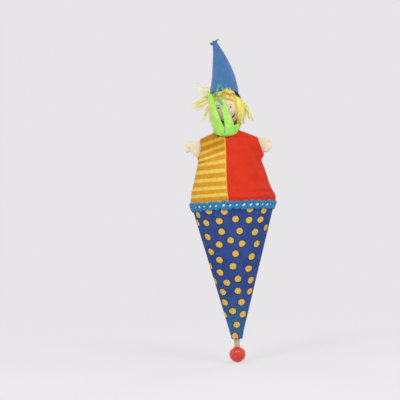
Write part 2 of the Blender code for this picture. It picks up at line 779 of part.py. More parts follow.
def main():
    clear_scene()
    puppet = make_carrier("puppet")
    dress = make_carrier("dress_turn", parent=puppet)
    cone = make_carrier("cone_slide", parent=dress)
    pivots = [
        make_carrier("arm_pivot_" + word, (side * ARM_PIVOT_OFFSET, 0.0, ARM_PIVOT_Z), dress)
        for word, side in (("striped_side", -1), ("red_side", 1))
    ]
    build_grip_ball(puppet)
    build_stick(puppet)
    build_head(puppet)
    build_hair(puppet)
    build_hat(puppet)
    build_binding(puppet)
    build_ribbon(puppet)
    build_dress(dress)
    build_hand("hand_striped_side", -1, pivots[0])
    build_hand("hand_red_side", 1, pivots[1])
    build_cone(cone)
    build_braid(cone)


main()
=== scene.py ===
"""Looks of the pop-up cone puppet: cloth, felt, hair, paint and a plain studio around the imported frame.

Shapes are worked out in millimetres, in the frame's own axes, and turned into metres when a mesh is made.
"""

import math

import bmesh
import bpy
import numpy as np
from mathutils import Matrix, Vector, noise


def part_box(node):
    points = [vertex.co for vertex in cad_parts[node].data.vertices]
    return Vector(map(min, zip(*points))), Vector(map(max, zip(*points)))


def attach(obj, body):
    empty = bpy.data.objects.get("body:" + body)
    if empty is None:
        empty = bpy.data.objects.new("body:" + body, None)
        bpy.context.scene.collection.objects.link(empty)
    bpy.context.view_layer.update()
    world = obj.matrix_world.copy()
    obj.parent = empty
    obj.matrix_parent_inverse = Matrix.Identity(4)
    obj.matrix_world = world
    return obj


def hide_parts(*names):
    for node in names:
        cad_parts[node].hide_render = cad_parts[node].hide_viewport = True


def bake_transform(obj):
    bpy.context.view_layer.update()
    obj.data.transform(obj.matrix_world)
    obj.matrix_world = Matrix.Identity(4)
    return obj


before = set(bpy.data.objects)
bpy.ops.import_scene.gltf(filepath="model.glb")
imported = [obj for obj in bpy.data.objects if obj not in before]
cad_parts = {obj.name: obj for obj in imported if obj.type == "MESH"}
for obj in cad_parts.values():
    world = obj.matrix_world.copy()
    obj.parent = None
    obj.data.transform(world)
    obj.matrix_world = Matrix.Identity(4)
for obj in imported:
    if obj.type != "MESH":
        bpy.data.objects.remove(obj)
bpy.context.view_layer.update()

MM = 0.001
TINY = 1e-12
SIDE_WORDS = {-1: "striped_side", 1: "red_side"}


def box_mm(node):
    """Lowest and highest corner of a node, in millimetres."""
    low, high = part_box(node)
    return np.array(low) / MM, np.array(high) / MM


# Places taken from the frame
(_, _, FLOOR_Z), (BALL_RADIUS, _, _) = box_mm("grip_ball")
(_, _, STICK_LOW_Z), (STICK_RADIUS, _, STICK_HIGH_Z) = box_mm("stick")
(_, _, CONE_TIP_Z), (CONE_RIM_RADIUS, _, CONE_RIM_Z) = box_mm("cone_cover")
(_, _, BRAID_LOW_Z), (_, _, BRAID_HIGH_Z) = box_mm("rim_braid")
(_, _, HEM_Z), (_, _, DRESS_TOP_Z) = box_mm("dress_front_red")
(_, _, TIE_Z), _ = box_mm("neck_binding")
(_, _, NECK_FOOT_Z), (_, _, HEAD_TOP_Z) = box_mm("head")

# Sizes of the head and the cone that their boxes do not give
HEAD_HALF_WIDTH = 13.5
HEAD_HALF_HEIGHT = 16.0
HEAD_Z = HEAD_TOP_Z - HEAD_HALF_HEIGHT
CONE_TIP_RADIUS = STICK_RADIUS + 2.3
CONE_HEIGHT = CONE_RIM_Z - CONE_TIP_Z
CONE_SLOPE = (CONE_RIM_RADIUS - CONE_TIP_RADIUS) / CONE_HEIGHT

# The photograph's view: the ball's centre in its 400 pixel frame, the puppet's lean and the scale
PHOTO_BALL = (237.3, 353.5)
PHOTO_SIDE = 400.0
PHOTO_LEAN = math.radians(2.3)
MM_PER_PIXEL = 0.92
CAMERA_DISTANCE = 1200.0
CAMERA_RISE = math.radians(-2.2)

# How far the face is turned to the striped side, and how far the cone's rim hangs over to the red side
FACE_TURN = math.radians(-11.5)
CONE_HANG = 1.5


def photo_place(pixel, y=0.0):
    """X and Z of a pixel of the photograph at a depth Y. Near points look larger, so they are drawn in."""
    middle = PHOTO_SIDE / 2
    height = (middle - pixel[1]) * MM_PER_PIXEL
    shrink = 1.0 + (y * math.cos(CAMERA_RISE) - height * math.sin(CAMERA_RISE)) / CAMERA_DISTANCE
    across = middle + (pixel[0] - middle) * shrink - PHOTO_BALL[0]
    up = PHOTO_BALL[1] - middle - (pixel[1] - middle) * shrink
    x = across * math.cos(PHOTO_LEAN) + up * math.sin(PHOTO_LEAN)
    z = up * math.cos(PHOTO_LEAN) - across * math.sin(PHOTO_LEAN)
    return x * MM_PER_PIXEL, z * MM_PER_PIXEL - y * math.tan(CAMERA_RISE)


def cone_radius(z):
    """Outer radius of the covered cone at a height."""
    return CONE_TIP_RADIUS + CONE_SLOPE * (z - CONE_TIP_Z)


def hang_over(points):
    """Move points of the cone sideways, more towards the rim."""
    points = np.array(points, float)
    points[..., 0] += CONE_HANG * np.clip((points[..., 2] - CONE_TIP_Z) / CONE_HEIGHT, 0.0, 1.1)
    return points


# Numbers and curves

def ease(value, low, high):
    """0 below low, 1 above high, and a smooth step between them."""
    t = np.clip((np.asarray(value, float) - low) / (high - low), 0.0, 1.0)
    return t * t * (3 - 2 * t)


def fade(distance, width):
    """1 at no distance, and smoothly less further off."""
    return np.exp(-(distance / width) ** 2)


def positive(value):
    """The value where it is above zero, and zero elsewhere."""
    return np.maximum(value, 0.0)


def signed_power(value, power):
    """A power of the value's size, with its sign kept."""
    return np.sign(value) * np.abs(value) ** power


def shares(count):
    """Numbers from 0 to 1, evenly spread."""
    return np.linspace(0.0, 1.0, count)


def circle(count):
    """Angles evenly spread over one turn."""
    return np.linspace(0.0, 2 * math.pi, count, endpoint=False)


def unit(vectors):
    """The same directions with a length of one."""
    return vectors / (np.linalg.norm(vectors, axis=-1, keepdims=True) + TINY)


def xyz(x, y, z):
    """Points from three coordinates, each a number or an array."""
    return np.stack(np.broadcast_arrays(x, y, z), axis=-1)


def around(radius, angle, z):
    """Points at a radius and an angle round the Z axis."""
    return xyz(radius * np.cos(angle), radius * np.sin(angle), z)


def profile(stations, blur):
    """A smooth function through (place, value) stations."""
    places, values = (np.array(column, float) for column in zip(*stations))
    step = 0.25
    fine = np.arange(places[0] - blur, places[-1] + blur + step, step)
    window = max(1, int(blur / step))
    padded = np.pad(np.interp(fine, places, values), window, mode="edge")
    kernel = np.hanning(2 * window + 1)
    smooth = np.convolve(padded, kernel / kernel.sum(), mode="valid")
    return lambda place: np.interp(place, fine, smooth)


def lengths_along(points):
    """How far along a line each of its points is."""
    return np.concatenate([[0.0], np.cumsum(np.linalg.norm(np.diff(points, axis=0), axis=1))])


def curve_through(points, count):
    """Evenly spread points on a smooth curve through the given ones."""
    points = np.array(points, float)
    ends = np.vstack([2 * points[0] - points[1], points, 2 * points[-1] - points[-2]])
    dense = []
    for first, start, stop, last in zip(ends, ends[1:], ends[2:], ends[3:]):
        for t in np.linspace(0.0, 1.0, 16, endpoint=False):
            dense.append(0.5 * (
                2 * start
                + (stop - first) * t
                + (2 * first - 5 * start + 4 * stop - last) * t ** 2
                + (3 * start - first - 3 * stop + last) * t ** 3
            ))
    dense = np.vstack([dense, points[-1:]])
    lengths = lengths_along(dense)
    wanted = np.linspace(0.0, lengths[-1], count)
    return np.stack([np.interp(wanted, lengths, column) for column in dense.T], axis=1)


def bezier(count, *controls):
    """Points on the curve from the first control point to the last, drawn towards those between."""
    t = shares(count)[:, None]
    power = len(controls) - 1
    weights = [math.comb(power, k) * (1 - t) ** (power - k) * t ** k for k in range(power + 1)]
    return sum(weight * point for weight, point in zip(weights, controls))


def gap_to(line, points):
    """Distance in the front view from each point to the nearest of a line's (x, z) places."""
    return np.min(np.hypot(points[..., :1] - line[:, 0], points[..., 2:] - line[:, 1]), axis=-1)


def roughen(points, scale, seed):
    """Smooth noise from -1 to 1 at each point, with features about scale millimetres long."""
    offset = Vector((seed * 17.3, seed * 5.7, seed * 11.9))
    values = [noise.noise(Vector(point) / scale + offset) for point in points.reshape(-1, 3)]
    return np.reshape(values, points.shape[:-1])


# Meshes. A shape is its points and its faces.

def grid(points, wrap_rows=False, wrap_columns=False):
    """A shape of quads over rows and columns of points."""
    rows, columns = points.shape[:2]
    row, column = np.meshgrid(
        np.arange(rows if wrap_rows else rows - 1),
        np.arange(columns if wrap_columns else columns - 1),
        indexing="ij",
    )
    next_row = (row + 1) % rows
    next_column = (column + 1) % columns
    corners = [
        row * columns + column,
        row * columns + next_column,
        next_row * columns + next_column,
        next_row * columns + column,
    ]
    return points.reshape(-1, 3), np.stack(corners, axis=-1).reshape(-1, 4).tolist()


def cup(rings):
    """A shape round rings of points, with a face over the first ring."""
    points, faces = grid(rings, wrap_columns=True)
    return points, faces + [list(range(rings.shape[1]))[::-1]]


def tube(rings):
    """A closed shape round rings of points, with a face over each end."""
    points, faces = cup(rings)
    return points, faces + [list(range(len(points) - rings.shape[1], len(points)))]


def turned(outline, steps):
    """An outline of (radius, height) spun round Z and closed on the axis at both ends."""
    outline = np.array(outline, float)
    body = outline[1:-1]
    rings, faces = grid(around(body[:, :1], circle(steps), body[:, 1:]), wrap_columns=True)
    first, last = len(rings), len(rings) + 1
    top = len(rings) - steps
    for step in range(steps):
        after = (step + 1) % steps
        faces.append((first, after, step))
        faces.append((last, top + step, top + after))
    return np.vstack([rings, [0.0, 0.0, outline[0, 1]], [0.0, 0.0, outline[-1, 1]]]), faces


def join_shapes(shapes):
    """Put several shapes into one."""
    all_faces = []
    start = 0
    for points, faces in shapes:
        all_faces += [[corner + start for corner in face] for face in faces]
        start += len(points)
    return np.vstack([points for points, _ in shapes]), all_faces


def tubes(paths, radii, sides):
    """Closed tubes along many paths at once. Paths is (tubes, points, 3), and radii are for its points."""
    paths = np.asarray(paths, float)
    radii = np.broadcast_to(radii, paths.shape[:2])
    along = unit(np.gradient(paths, axis=1))
    mean = along.mean(axis=1)
    mostly_y = np.abs(mean[:, 1:2]) >= 0.8 * np.linalg.norm(mean, axis=1, keepdims=True)
    helper = np.where(mostly_y, [[1.0, 0.0, 0.0]], [[0.0, 1.0, 0.0]])[:, None, :]
    across = unit(np.cross(along, helper))
    up = np.cross(along, across)
    turn = circle(sides)[:, None]
    ring = across[:, :, None, :] * np.cos(turn) + up[:, :, None, :] * np.sin(turn)
    points = paths[:, :, None, :] + ring * radii[:, :, None, None]
    return join_shapes([tube(rings) for rings in points])


def turn_outward(mesh, inside):
    """Flip a mesh whose faces look towards the inside point."""
    outward = sum((face.center - inside).dot(face.normal) * face.area for face in mesh.polygons)
    if outward < 0.0:
        mesh.flip_normals()


def orient(mesh):
    """Turn all faces of a closed mesh outwards."""
    shape = bmesh.new()
    shape.from_mesh(mesh)
    bmesh.ops.recalc_face_normals(shape, faces=shape.faces[:])
    shape.to_mesh(mesh)
    shape.free()


def keep_vectors(mesh, name, vectors):
    """Keep a vector for each point, for the material."""
    attribute = mesh.attributes.new(name, "FLOAT_VECTOR", "POINT")
    attribute.data.foreach_set("vector", np.asarray(vectors, np.float32).ravel())


def keep_numbers(mesh, name, values):
    """Keep a number for each point, for the material."""
    attribute = mesh.attributes.new(name, "FLOAT", "POINT")
    attribute.data.foreach_set("value", np.asarray(values, np.float32).ravel())


def thicken(piece, thickness):
    """Give a sheet its thickness, on its inner side."""
    modifier = piece.modifiers.new("thickness", "SOLIDIFY")
    modifier.thickness = thickness * MM
    modifier.offset = -1.0


def add_object(name, data):
    """Put an object into the scene."""
    made = bpy.data.objects.new(name, data)
    bpy.context.scene.collection.objects.link(made)
    return made


def add_piece(
    name, shape, look, stands_for=(), body=None,
    inside=None, cloth=None, numbers=None, thickness=0.0,
):
    """Make a named piece from a shape in millimetres, which rides on a body where one is given.

    Faces turn away from the inside point of an open sheet, and outwards where there is none. Cloth is the
    flat place of each point, and numbers are named values for each point.
    """
    points, faces = shape
    mesh = bpy.data.meshes.new(name)
    mesh.from_pydata((points * MM).tolist(), [], faces)
    mesh.update()
    if inside:
        turn_outward(mesh, Vector(inside) * MM)
    else:
        orient(mesh)
    mesh.shade_smooth()
    keep_vectors(mesh, "rest", points)
    if cloth is not None:
        keep_vectors(mesh, "cloth", cloth)
    for key, values in (numbers or {}).items():
        keep_numbers(mesh, key, values)
    mesh.materials.append(look)
    piece = add_object(name, mesh)
    if thickness:
        thicken(piece, thickness)
    if stands_for:
        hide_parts(*stands_for)
    if body:
        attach(piece, body)
    return piece


# Materials. Each pair of limits is where a change starts and where it ends, in millimetres.

CHEEK_REACH = (0.5, 4.2)
# Band of hair just below the hat's edge that gets painted shade
HAT_SHADE_FROM_Z = (234.0, 237.5)
HAT_SHADE_TO_Z = (239.0, 241.0)
# Heights where painted shade under the collar comes in on the stripes
NECK_SHADE_Z = (180.0, 192.0)
SEAM_EDGE_REACH = (0.5, 1.1)
WORN_CONE_Z = (18.0, 62.0)
GOLD_DOT_REACH = (2.8, 3.1)
DARK_DOT_REACH = (3.4, 3.9)
THREAD_PITCH = 0.34
RIBBON_RIB = 0.4


def colour(red, green, blue):
    """A screen colour, 0 to 255, as the shader's linear colour."""
    channels = []
    for value in (red, green, blue):
        share = value / 255.0
        channels.append(share / 12.92 if share <= 0.04045 else ((share + 0.055) / 1.055) ** 2.4)
    return (*channels, 1.0)


class Nodes:
    """A tree of shader nodes, built up node by node."""

    def __init__(self, tree):
        self.tree = tree

    def node(self, kind, inputs, **settings):
        """A node with its settings and its inputs, which are numbers or other nodes' outputs."""
        made = self.tree.nodes.new(kind)
        for key, value in settings.items():
            setattr(made, key, value)
        for key, value in inputs.items():
            if isinstance(value, bpy.types.NodeSocket):
                self.tree.links.new(value, made.inputs[key])
            else:
                made.inputs[key].default_value = value
        return made

    def math(self, operation, first, second):
        return self.node("ShaderNodeMath", {0: first, 1: second}, operation=operation).outputs["Value"]

    def times(self, first, second):
        return self.math("MULTIPLY", first, second)

    def one_minus(self, value):
        return self.math("SUBTRACT", 1.0, value)

    def seen_directly(self):
        """1 for what the camera sees, straight or in a reflection or through glass, and 0 for light."""
        rays = self.node("ShaderNodeLightPath", {}).outputs
        mirrored = self.math("MAXIMUM", rays["Is Glossy Ray"], rays["Is Transmission Ray"])
        return self.math("MAXIMUM", rays["Is Camera Ray"], mirrored)

    def show_blend(self, output, share, first, second):
        """Send a mix of two shaders to the tree's output."""
        blend = self.node("ShaderNodeMixShader", {0: share, 1: first, 2: second})
        self.tree.links.new(blend.outputs["Shader"], self.tree.nodes[output].inputs["Surface"])


class Look(Nodes):
    """One procedural material."""

    def __init__(self, name, **sockets):
        self.material = bpy.data.materials.new(name)
        self.material.use_nodes = True
        super().__init__(self.material.node_tree)
        self.shader = self.tree.nodes["Principled BSDF"]
        self.normal = None
        for socket, value in sockets.items():
            self.shader.inputs[socket.replace("_", " ").title().replace("Ior", "IOR")].default_value = value

    def vector(self, name):
        return self.node("ShaderNodeAttribute", {}, attribute_name=name).outputs["Vector"]

    def number(self, name):
        return self.node("ShaderNodeAttribute", {}, attribute_name=name).outputs["Fac"]

    def axis(self, vector, name):
        return self.node("ShaderNodeSeparateXYZ", {"Vector": vector}).outputs[name]

    def height(self):
        """Rest height in millimetres."""
        return self.axis(self.vector("rest"), "Z")

    def noise(self, per_mm, stretch=(1.0, 1.0, 1.0), detail=3.0):
        """Noise with about per_mm features in a millimetre, scaled along each axis."""
        inputs = {0: self.vector("rest"), 1: stretch}
        places = self.node("ShaderNodeVectorMath", inputs, operation="MULTIPLY").outputs["Vector"]
        inputs = {"Vector": places, "Scale": per_mm, "Detail": detail, "Roughness": 0.6}
        return self.node("ShaderNodeTexNoise", inputs).outputs["Fac"]

    def step(self, value, low, high):
        """0 below low, 1 above high, smooth between."""
        inputs = {"Value": value, "From Min": low, "From Max": high}
        return self.node("ShaderNodeMapRange", inputs, interpolation_type="SMOOTHSTEP").outputs["Result"]

    def patches(self, per_mm, low, high, detail=4.0):
        """Soft patches from noise, 0 where it is below low and 1 where it is above high."""
        return self.step(self.noise(per_mm, detail=detail), low, high)

    def wobble(self, per_mm, detail, size):
        """Noise about zero, for ragged edges."""
        return self.times(self.math("SUBTRACT", self.noise(per_mm, detail=detail), 0.5), size)

    def ridges(self, axis, length):
        """A wave of a length in millimetres over the sheet's flat places."""
        place = self.axis(self.vector("cloth"), axis)
        return self.math("SINE", self.times(place, 2 * math.pi / length), 0.0)

    def mix(self, share, first, second):
        """A colour between two colours."""
        return self.node("ShaderNodeMix", {0: share, 6: first, 7: second}, data_type="RGBA").outputs[2]

    def distance(self, place):
        """Distance in millimetres from a place."""
        inputs = {0: self.vector("rest"), 1: place}
        return self.node("ShaderNodeVectorMath", inputs, operation="DISTANCE").outputs["Value"]

    def bump(self, height, depth):
        """Raise the surface by up to depth millimetres."""
        inputs = {"Height": height, "Distance": depth * MM, "Strength": 1.0}
        if self.normal is not None:
            inputs["Normal"] = self.normal
        self.normal = self.node("ShaderNodeBump", inputs).outputs["Normal"]
        self.tree.links.new(self.normal, self.shader.inputs["Normal"])

    def polish(self, factor, low, high):
        """Roughness that runs from low to high with a factor."""
        inputs = {"Value": factor, "To Min": low, "To Max": high}
        result = self.node("ShaderNodeMapRange", inputs).outputs["Result"]
        self.tree.links.new(result, self.shader.inputs["Roughness"])

    def let_through(self, shade, share):
        """Let part of the light through, as thin fibres do."""
        through = self.node("ShaderNodeBsdfTranslucent", {"Color": shade}).outputs["BSDF"]
        self.show_blend("Material Output", share, self.shader.outputs["BSDF"], through)

    def paint(self, shade):
        """The finished material, with its colour."""
        self.tree.links.new(shade, self.shader.inputs["Base Color"])
        return self.material


def lacquer_look():
    look = Look("red_lacquer", specular_ior_level=0.15, coat_weight=0.9, coat_roughness=0.03)
    look.polish(look.noise(1.5), 0.3, 0.45)
    look.bump(look.noise(0.35, stretch=(1.0, 1.0, 6.0)), 0.05)
    return look.paint(look.mix(look.patches(0.5, 0.3, 0.75), colour(202, 38, 14), colour(217, 54, 25)))


def wood_look(name, pale, dark):
    """Bare wood with its grain along Z."""
    look = Look(name, specular_ior_level=0.35)
    grain = look.noise(2.2, stretch=(1.0, 1.0, 0.06), detail=6.0)
    pores = look.noise(9.0, stretch=(1.0, 1.0, 0.04), detail=2.0)
    look.polish(grain, 0.5, 0.72)
    look.bump(pores, 0.06)
    body = look.mix(look.step(grain, 0.35, 0.7), dark, pale)
    return look.paint(look.mix(look.step(pores, 0.62, 0.75), body, dark))


def skin_look(cheeks):
    """Paint over turned wood, with a little blush on the cheeks."""
    look = Look("painted_skin", specular_ior_level=0.4, coat_weight=0.15, coat_roughness=0.35)
    shade = look.mix(look.patches(0.3, 0.3, 0.7, 3.0), colour(220, 194, 164), colour(228, 205, 177))
    for cheek in cheeks:
        near = look.one_minus(look.step(look.distance(cheek), *CHEEK_REACH))
        shade = look.mix(look.times(near, 0.55), shade, colour(222, 150, 122))
    look.polish(look.noise(1.2), 0.38, 0.55)
    look.bump(look.noise(1.6, stretch=(1.0, 1.0, 0.1)), 0.05)
    return look.paint(shade)


def ink_look():
    look = Look("face_ink", specular_ior_level=0.4)
    look.polish(look.noise(2.0), 0.35, 0.55)
    return look.paint(look.mix(look.noise(1.5), colour(34, 24, 22), colour(62, 44, 38)))


def hair_look():
    """Fibre that differs from strand to strand, with painted shade just below the hat's edge, paler towards
    the tips.
    """
    sheen = {"sheen_weight": 0.6, "sheen_roughness": 0.4, "sheen_tint": colour(255, 240, 130)}
    look = Look("yellow_fibre", specular_ior_level=0.35, **sheen)
    tone = look.number("tone")
    shade = look.mix(look.step(tone, 0.02, 0.12), colour(210, 164, 48), colour(254, 240, 92))
    shade = look.mix(look.step(tone, 0.35, 1.0), shade, colour(254, 250, 146))
    height = look.height()
    # Painted shade: brown-gold patches in the band just below the hat's edge, where the hat shades the
    # roots
    from_z, to_z = look.step(height, *HAT_SHADE_FROM_Z), look.step(height, *HAT_SHADE_TO_Z)
    below_hat = look.math("SUBTRACT", from_z, to_z)
    painted_hat_shade = look.times(below_hat, look.patches(0.3, 0.42, 0.54, 3.0))
    shade = look.mix(look.times(painted_hat_shade, 0.9), shade, colour(186, 134, 26))
    # Paler towards the tips; on the loose tufts this paleness is partly the fibres' own colour and partly
    # painted light that lifts the shade between the fibres
    shade = look.mix(look.times(look.number("pale"), 0.8), shade, colour(252, 252, 204))
    look.polish(look.noise(3.0), 0.42, 0.62)
    look.bump(look.noise(5.0, stretch=(1.0, 1.0, 0.3)), 0.05)
    look.let_through(shade, 0.05)
    return look.paint(shade)


def felt_look(name, dark, light, fibre_depth):
    look = Look(name, specular_ior_level=0.2, sheen_weight=0.35, sheen_roughness=0.5)
    fibres = look.noise(2.6, stretch=(1.0, 1.0, 0.5), detail=6.0)
    look.polish(fibres, 0.82, 0.98)
    look.bump(look.noise(7.0, detail=5.0), fibre_depth * 0.5)
    look.bump(fibres, fibre_depth)
    body = look.mix(look.patches(0.22, 0.25, 0.75), dark, light)
    return look.paint(look.mix(look.step(fibres, 0.55, 0.8), body, light))


def cotton(name):
    """Plain woven cotton, ready for its colours."""
    look = Look(name, specular_ior_level=0.1)
    look.polish(look.noise(1.5), 0.76, 0.92)
    look.bump(look.noise(0.5, detail=4.0), 0.12)
    look.bump(look.times(look.ridges("X", 2 * THREAD_PITCH), look.ridges("Y", 2 * THREAD_PITCH)), 0.07)
    return look


def red_cotton_look():
    look = cotton("red_cotton")
    threads = look.noise(4.0, stretch=(1.0, 1.0, 0.2), detail=2.0)
    body = look.mix(look.patches(0.08, 0.25, 0.75), colour(208, 46, 27), colour(221, 58, 35))
    return look.paint(look.mix(look.step(threads, 0.5, 0.8), body, colour(225, 68, 43)))


def striped_cotton_look():
    """Orange and yellow stripes with soft printed edges, with painted shade by the neck under the collar,
    and yellow along the seam.
    """
    look = cotton("striped_cotton")
    stripe = look.math("ADD", look.number("stripe"), look.wobble(0.4, 4.0, 0.22))
    from_middle = look.math("SUBTRACT", look.math("FRACT", stripe, 0.0), 0.5)
    band = look.step(look.times(look.math("ABSOLUTE", from_middle, 0.0), 2.0), 0.26, 0.58)
    mottle = look.patches(0.35, 0.3, 0.7)
    orange = look.mix(mottle, colour(207, 138, 37), colour(220, 159, 56))
    yellow = look.mix(mottle, colour(226, 190, 75), colour(236, 208, 96))
    # Painted shade: darker, duller stripes by the neck, for the shade under the collar and in its gathers
    painted_neck_shade = look.mix(band, colour(208, 168, 58), colour(191, 123, 28))
    by_neck = look.step(look.height(), *NECK_SHADE_Z)
    shade = look.mix(by_neck, look.mix(band, yellow, orange), painted_neck_shade)
    edge = look.one_minus(look.step(look.number("seam"), *SEAM_EDGE_REACH))
    return look.paint(look.mix(edge, shade, colour(233, 195, 82)))


def dotted_cotton_look():
    """Golden dots with dark edges on blue, paler towards the tip of the cone."""
    look = cotton("dotted_cotton")
    blue = look.mix(look.patches(0.12, 0.25, 0.75), colour(46, 66, 129), colour(58, 82, 144))
    worn = look.one_minus(look.step(look.height(), *WORN_CONE_Z))
    blue = look.mix(look.times(worn, 0.55), blue, colour(60, 120, 160))
    reach = look.math("ADD", look.number("dot"), look.wobble(0.4, 3.0, 1.5))
    gold = look.mix(look.patches(0.7, 0.42, 0.62, 3.0), colour(222, 188, 96), colour(212, 168, 78))
    edged = look.mix(look.step(reach, *GOLD_DOT_REACH), gold, colour(44, 50, 74))
    return look.paint(look.mix(look.step(reach, *DARK_DOT_REACH), edged, blue))


def ribbon_look():
    """Thin satin ribbon with fine ribs, a little yellower where it is worn."""
    look = Look("lime_ribbon", specular_ior_level=0.4, sheen_weight=0.2, sheen_roughness=0.35)
    look.polish(look.noise(0.8), 0.38, 0.6)
    look.bump(look.ridges("Y", RIBBON_RIB), 0.03)
    look.bump(look.noise(0.45), 0.2)
    worn = look.patches(0.16, 0.3, 0.72, 3.0)
    return look.paint(look.mix(worn, colour(148, 221, 77), colour(177, 232, 113)))


def thread_look(name, dark, light):
    look = Look(name, specular_ior_level=0.25, sheen_weight=0.2)
    fibres = look.noise(4.0, detail=4.0)
    look.polish(fibres, 0.6, 0.85)
    look.bump(fibres, 0.08)
    return look.paint(look.mix(look.step(fibres, 0.3, 0.7), dark, light))


def card_look():
    """Grey-brown card with short fibres."""
    look = Look("cone_card", roughness=0.9)
    fibres = look.noise(0.9, detail=6.0)
    look.bump(fibres, 0.08)
    return look.paint(look.mix(look.step(fibres, 0.3, 0.7), colour(158, 140, 116), colour(188, 171, 146)))


# Wooden pieces

EYES = [(2.6, 225.7), (-8.4, 225.5)]
EYE_RADIUS = 0.85
BROW = [(-1.1, 2.0), (0.0, 2.6), (1.1, 2.1)]
BROW_WIDTHS = [0.25, 0.5, 0.25]
SMILE = [
    (-8.2, 216.9), (-6.9, 214.3), (-3.0, 212.8), (0.6, 213.2), (3.0, 215.6), (5.0, 217.5), (6.4, 219.7),
]
SMILE_WIDTHS = [0.7, 1.0, 1.1, 1.1, 1.2, 1.3, 0.8]
CHEEKS = [(6.5, 219.5), (-10.5, 219.5)]
PAINT_SINK = -0.1


def build_ball():
    """Lacquered ball with a softened edge round the stick's hole."""
    hole = STICK_RADIUS + 0.15
    hole_floor = -2.4
    lip = 0.5
    start = math.asin((hole + lip) / BALL_RADIUS)
    lip_z = BALL_RADIUS * math.cos(start)
    outline = [(0.0, hole_floor), (hole, hole_floor), (hole, lip_z - lip)]
    for turn in np.linspace(0.2, math.pi / 2 - 0.2, 5):
        outline.append((hole + lip * (1 - math.cos(turn)), lip_z - lip * (1 - math.sin(turn))))
    for turn in np.linspace(start, math.pi, 72):
        outline.append((BALL_RADIUS * math.sin(turn), BALL_RADIUS * math.cos(turn)))
    ball = turned(outline, 96)
    add_piece("grip_ball_lacquered", ball, lacquer_look(), ["grip_ball"], "puppet")


def build_stick():
    bevel = 0.4
    low, high = STICK_LOW_Z, STICK_HIGH_Z
    outline = [(0.0, high), (STICK_RADIUS - bevel, high), (STICK_RADIUS, high - bevel)]
    outline += [(STICK_RADIUS, z) for z in np.linspace(high - 2.0, low + 2.0, 60)]
    outline += [(STICK_RADIUS, low + bevel), (STICK_RADIUS - bevel, low), (0.0, low)]
    look = wood_look("bare_wood", colour(206, 184, 166), colour(179, 149, 124))
    add_piece("stick_dowel", turned(outline, 48), look, ["stick"], "puppet")


def on_head(azimuth, polar, lift):
    """A point above the head, at an angle round Z and an angle down from the crown."""
    radius = (HEAD_HALF_WIDTH + lift) * np.sin(polar)
    return around(radius, azimuth, HEAD_Z + (HEAD_HALF_HEIGHT + lift) * np.cos(polar))


def on_face(x, z, lift):
    """A point above the front of the head, by its place in the front view."""
    polar = np.arccos(np.clip((z - HEAD_Z) / HEAD_HALF_HEIGHT, -1.0, 1.0))
    azimuth = -np.arccos(np.clip(x / (HEAD_HALF_WIDTH * np.sin(polar)), -1.0, 1.0))
    return on_head(azimuth, polar, lift)


def build_head():
    """Turned head with its neck and foot, and the stick's socket."""
    neck = 5.8
    foot = 7.0
    foot_top = NECK_FOOT_Z + 2.0
    bevel = 0.3
    socket = STICK_RADIUS + 0.2
    socket_top = STICK_HIGH_Z + 0.2
    neck_polar = math.pi - math.asin(neck / HEAD_HALF_WIDTH)
    outline = [
        (HEAD_HALF_WIDTH * math.sin(polar), HEAD_Z + HEAD_HALF_HEIGHT * math.cos(polar))
        for polar in np.linspace(0.0, neck_polar, 72)
    ]
    outline += [
        (neck, foot_top + 1.2), (neck, foot_top), (foot - bevel, foot_top), (foot, foot_top - bevel),
        (foot, NECK_FOOT_Z + bevel), (foot - bevel, NECK_FOOT_Z), (socket, NECK_FOOT_Z),
        (socket, socket_top), (0.0, socket_top),
    ]
    look = skin_look([on_face(x, z, 0.0) for x, z in CHEEKS])
    add_piece("head_painted", turned(outline, 96), look, ["head"], "puppet")


def brush_stroke(route, widths):
    """A thin raised stroke of paint on the face along (x, z) places."""
    count = 28
    line = curve_through(route, count)
    half_width = np.interp(shares(count), shares(len(widths)), widths) / 2
    along = unit(np.gradient(line, axis=0))
    across = np.stack([-along[:, 1], along[:, 0]], axis=1)
    sides = np.linspace(-1.0, 1.0, 7)
    section = [(side, 0.14 * (1 - side ** 2) + 0.02) for side in sides]
    section += [(side, PAINT_SINK) for side in sides[-2:0:-1]]
    rows = []
    for side, lift in section:
        places = line + across * (side * half_width)[:, None]
        rows.append(on_face(places[:, 0], places[:, 1], lift))
    return tube(np.stack(rows, axis=1))


def paint_dot(x, z, radius):
    """A round raised dot of paint on the face."""
    turn = circle(20)
    section = [(1.0, PAINT_SINK), (1.0, 0.02), (0.8, 0.1), (0.45, 0.16), (0.1, 0.18)]
    rings = []
    for share, lift in section:
        reach = radius * share
        rings.append(on_face(x + reach * np.cos(turn), z + reach * np.sin(turn), lift))
    return tube(np.array(rings))


def build_face():
    """Dot eyes, short brows and one curved smile."""
    shapes = [paint_dot(x, z, EYE_RADIUS) for x, z in EYES]
    for x, z in EYES:
        shapes.append(brush_stroke([(x + across, z + up) for across, up in BROW], BROW_WIDTHS))
    shapes.append(brush_stroke(SMILE, SMILE_WIDTHS))
    add_piece("face_paint", join_shapes(shapes), ink_look(), (), "puppet")


# Cone

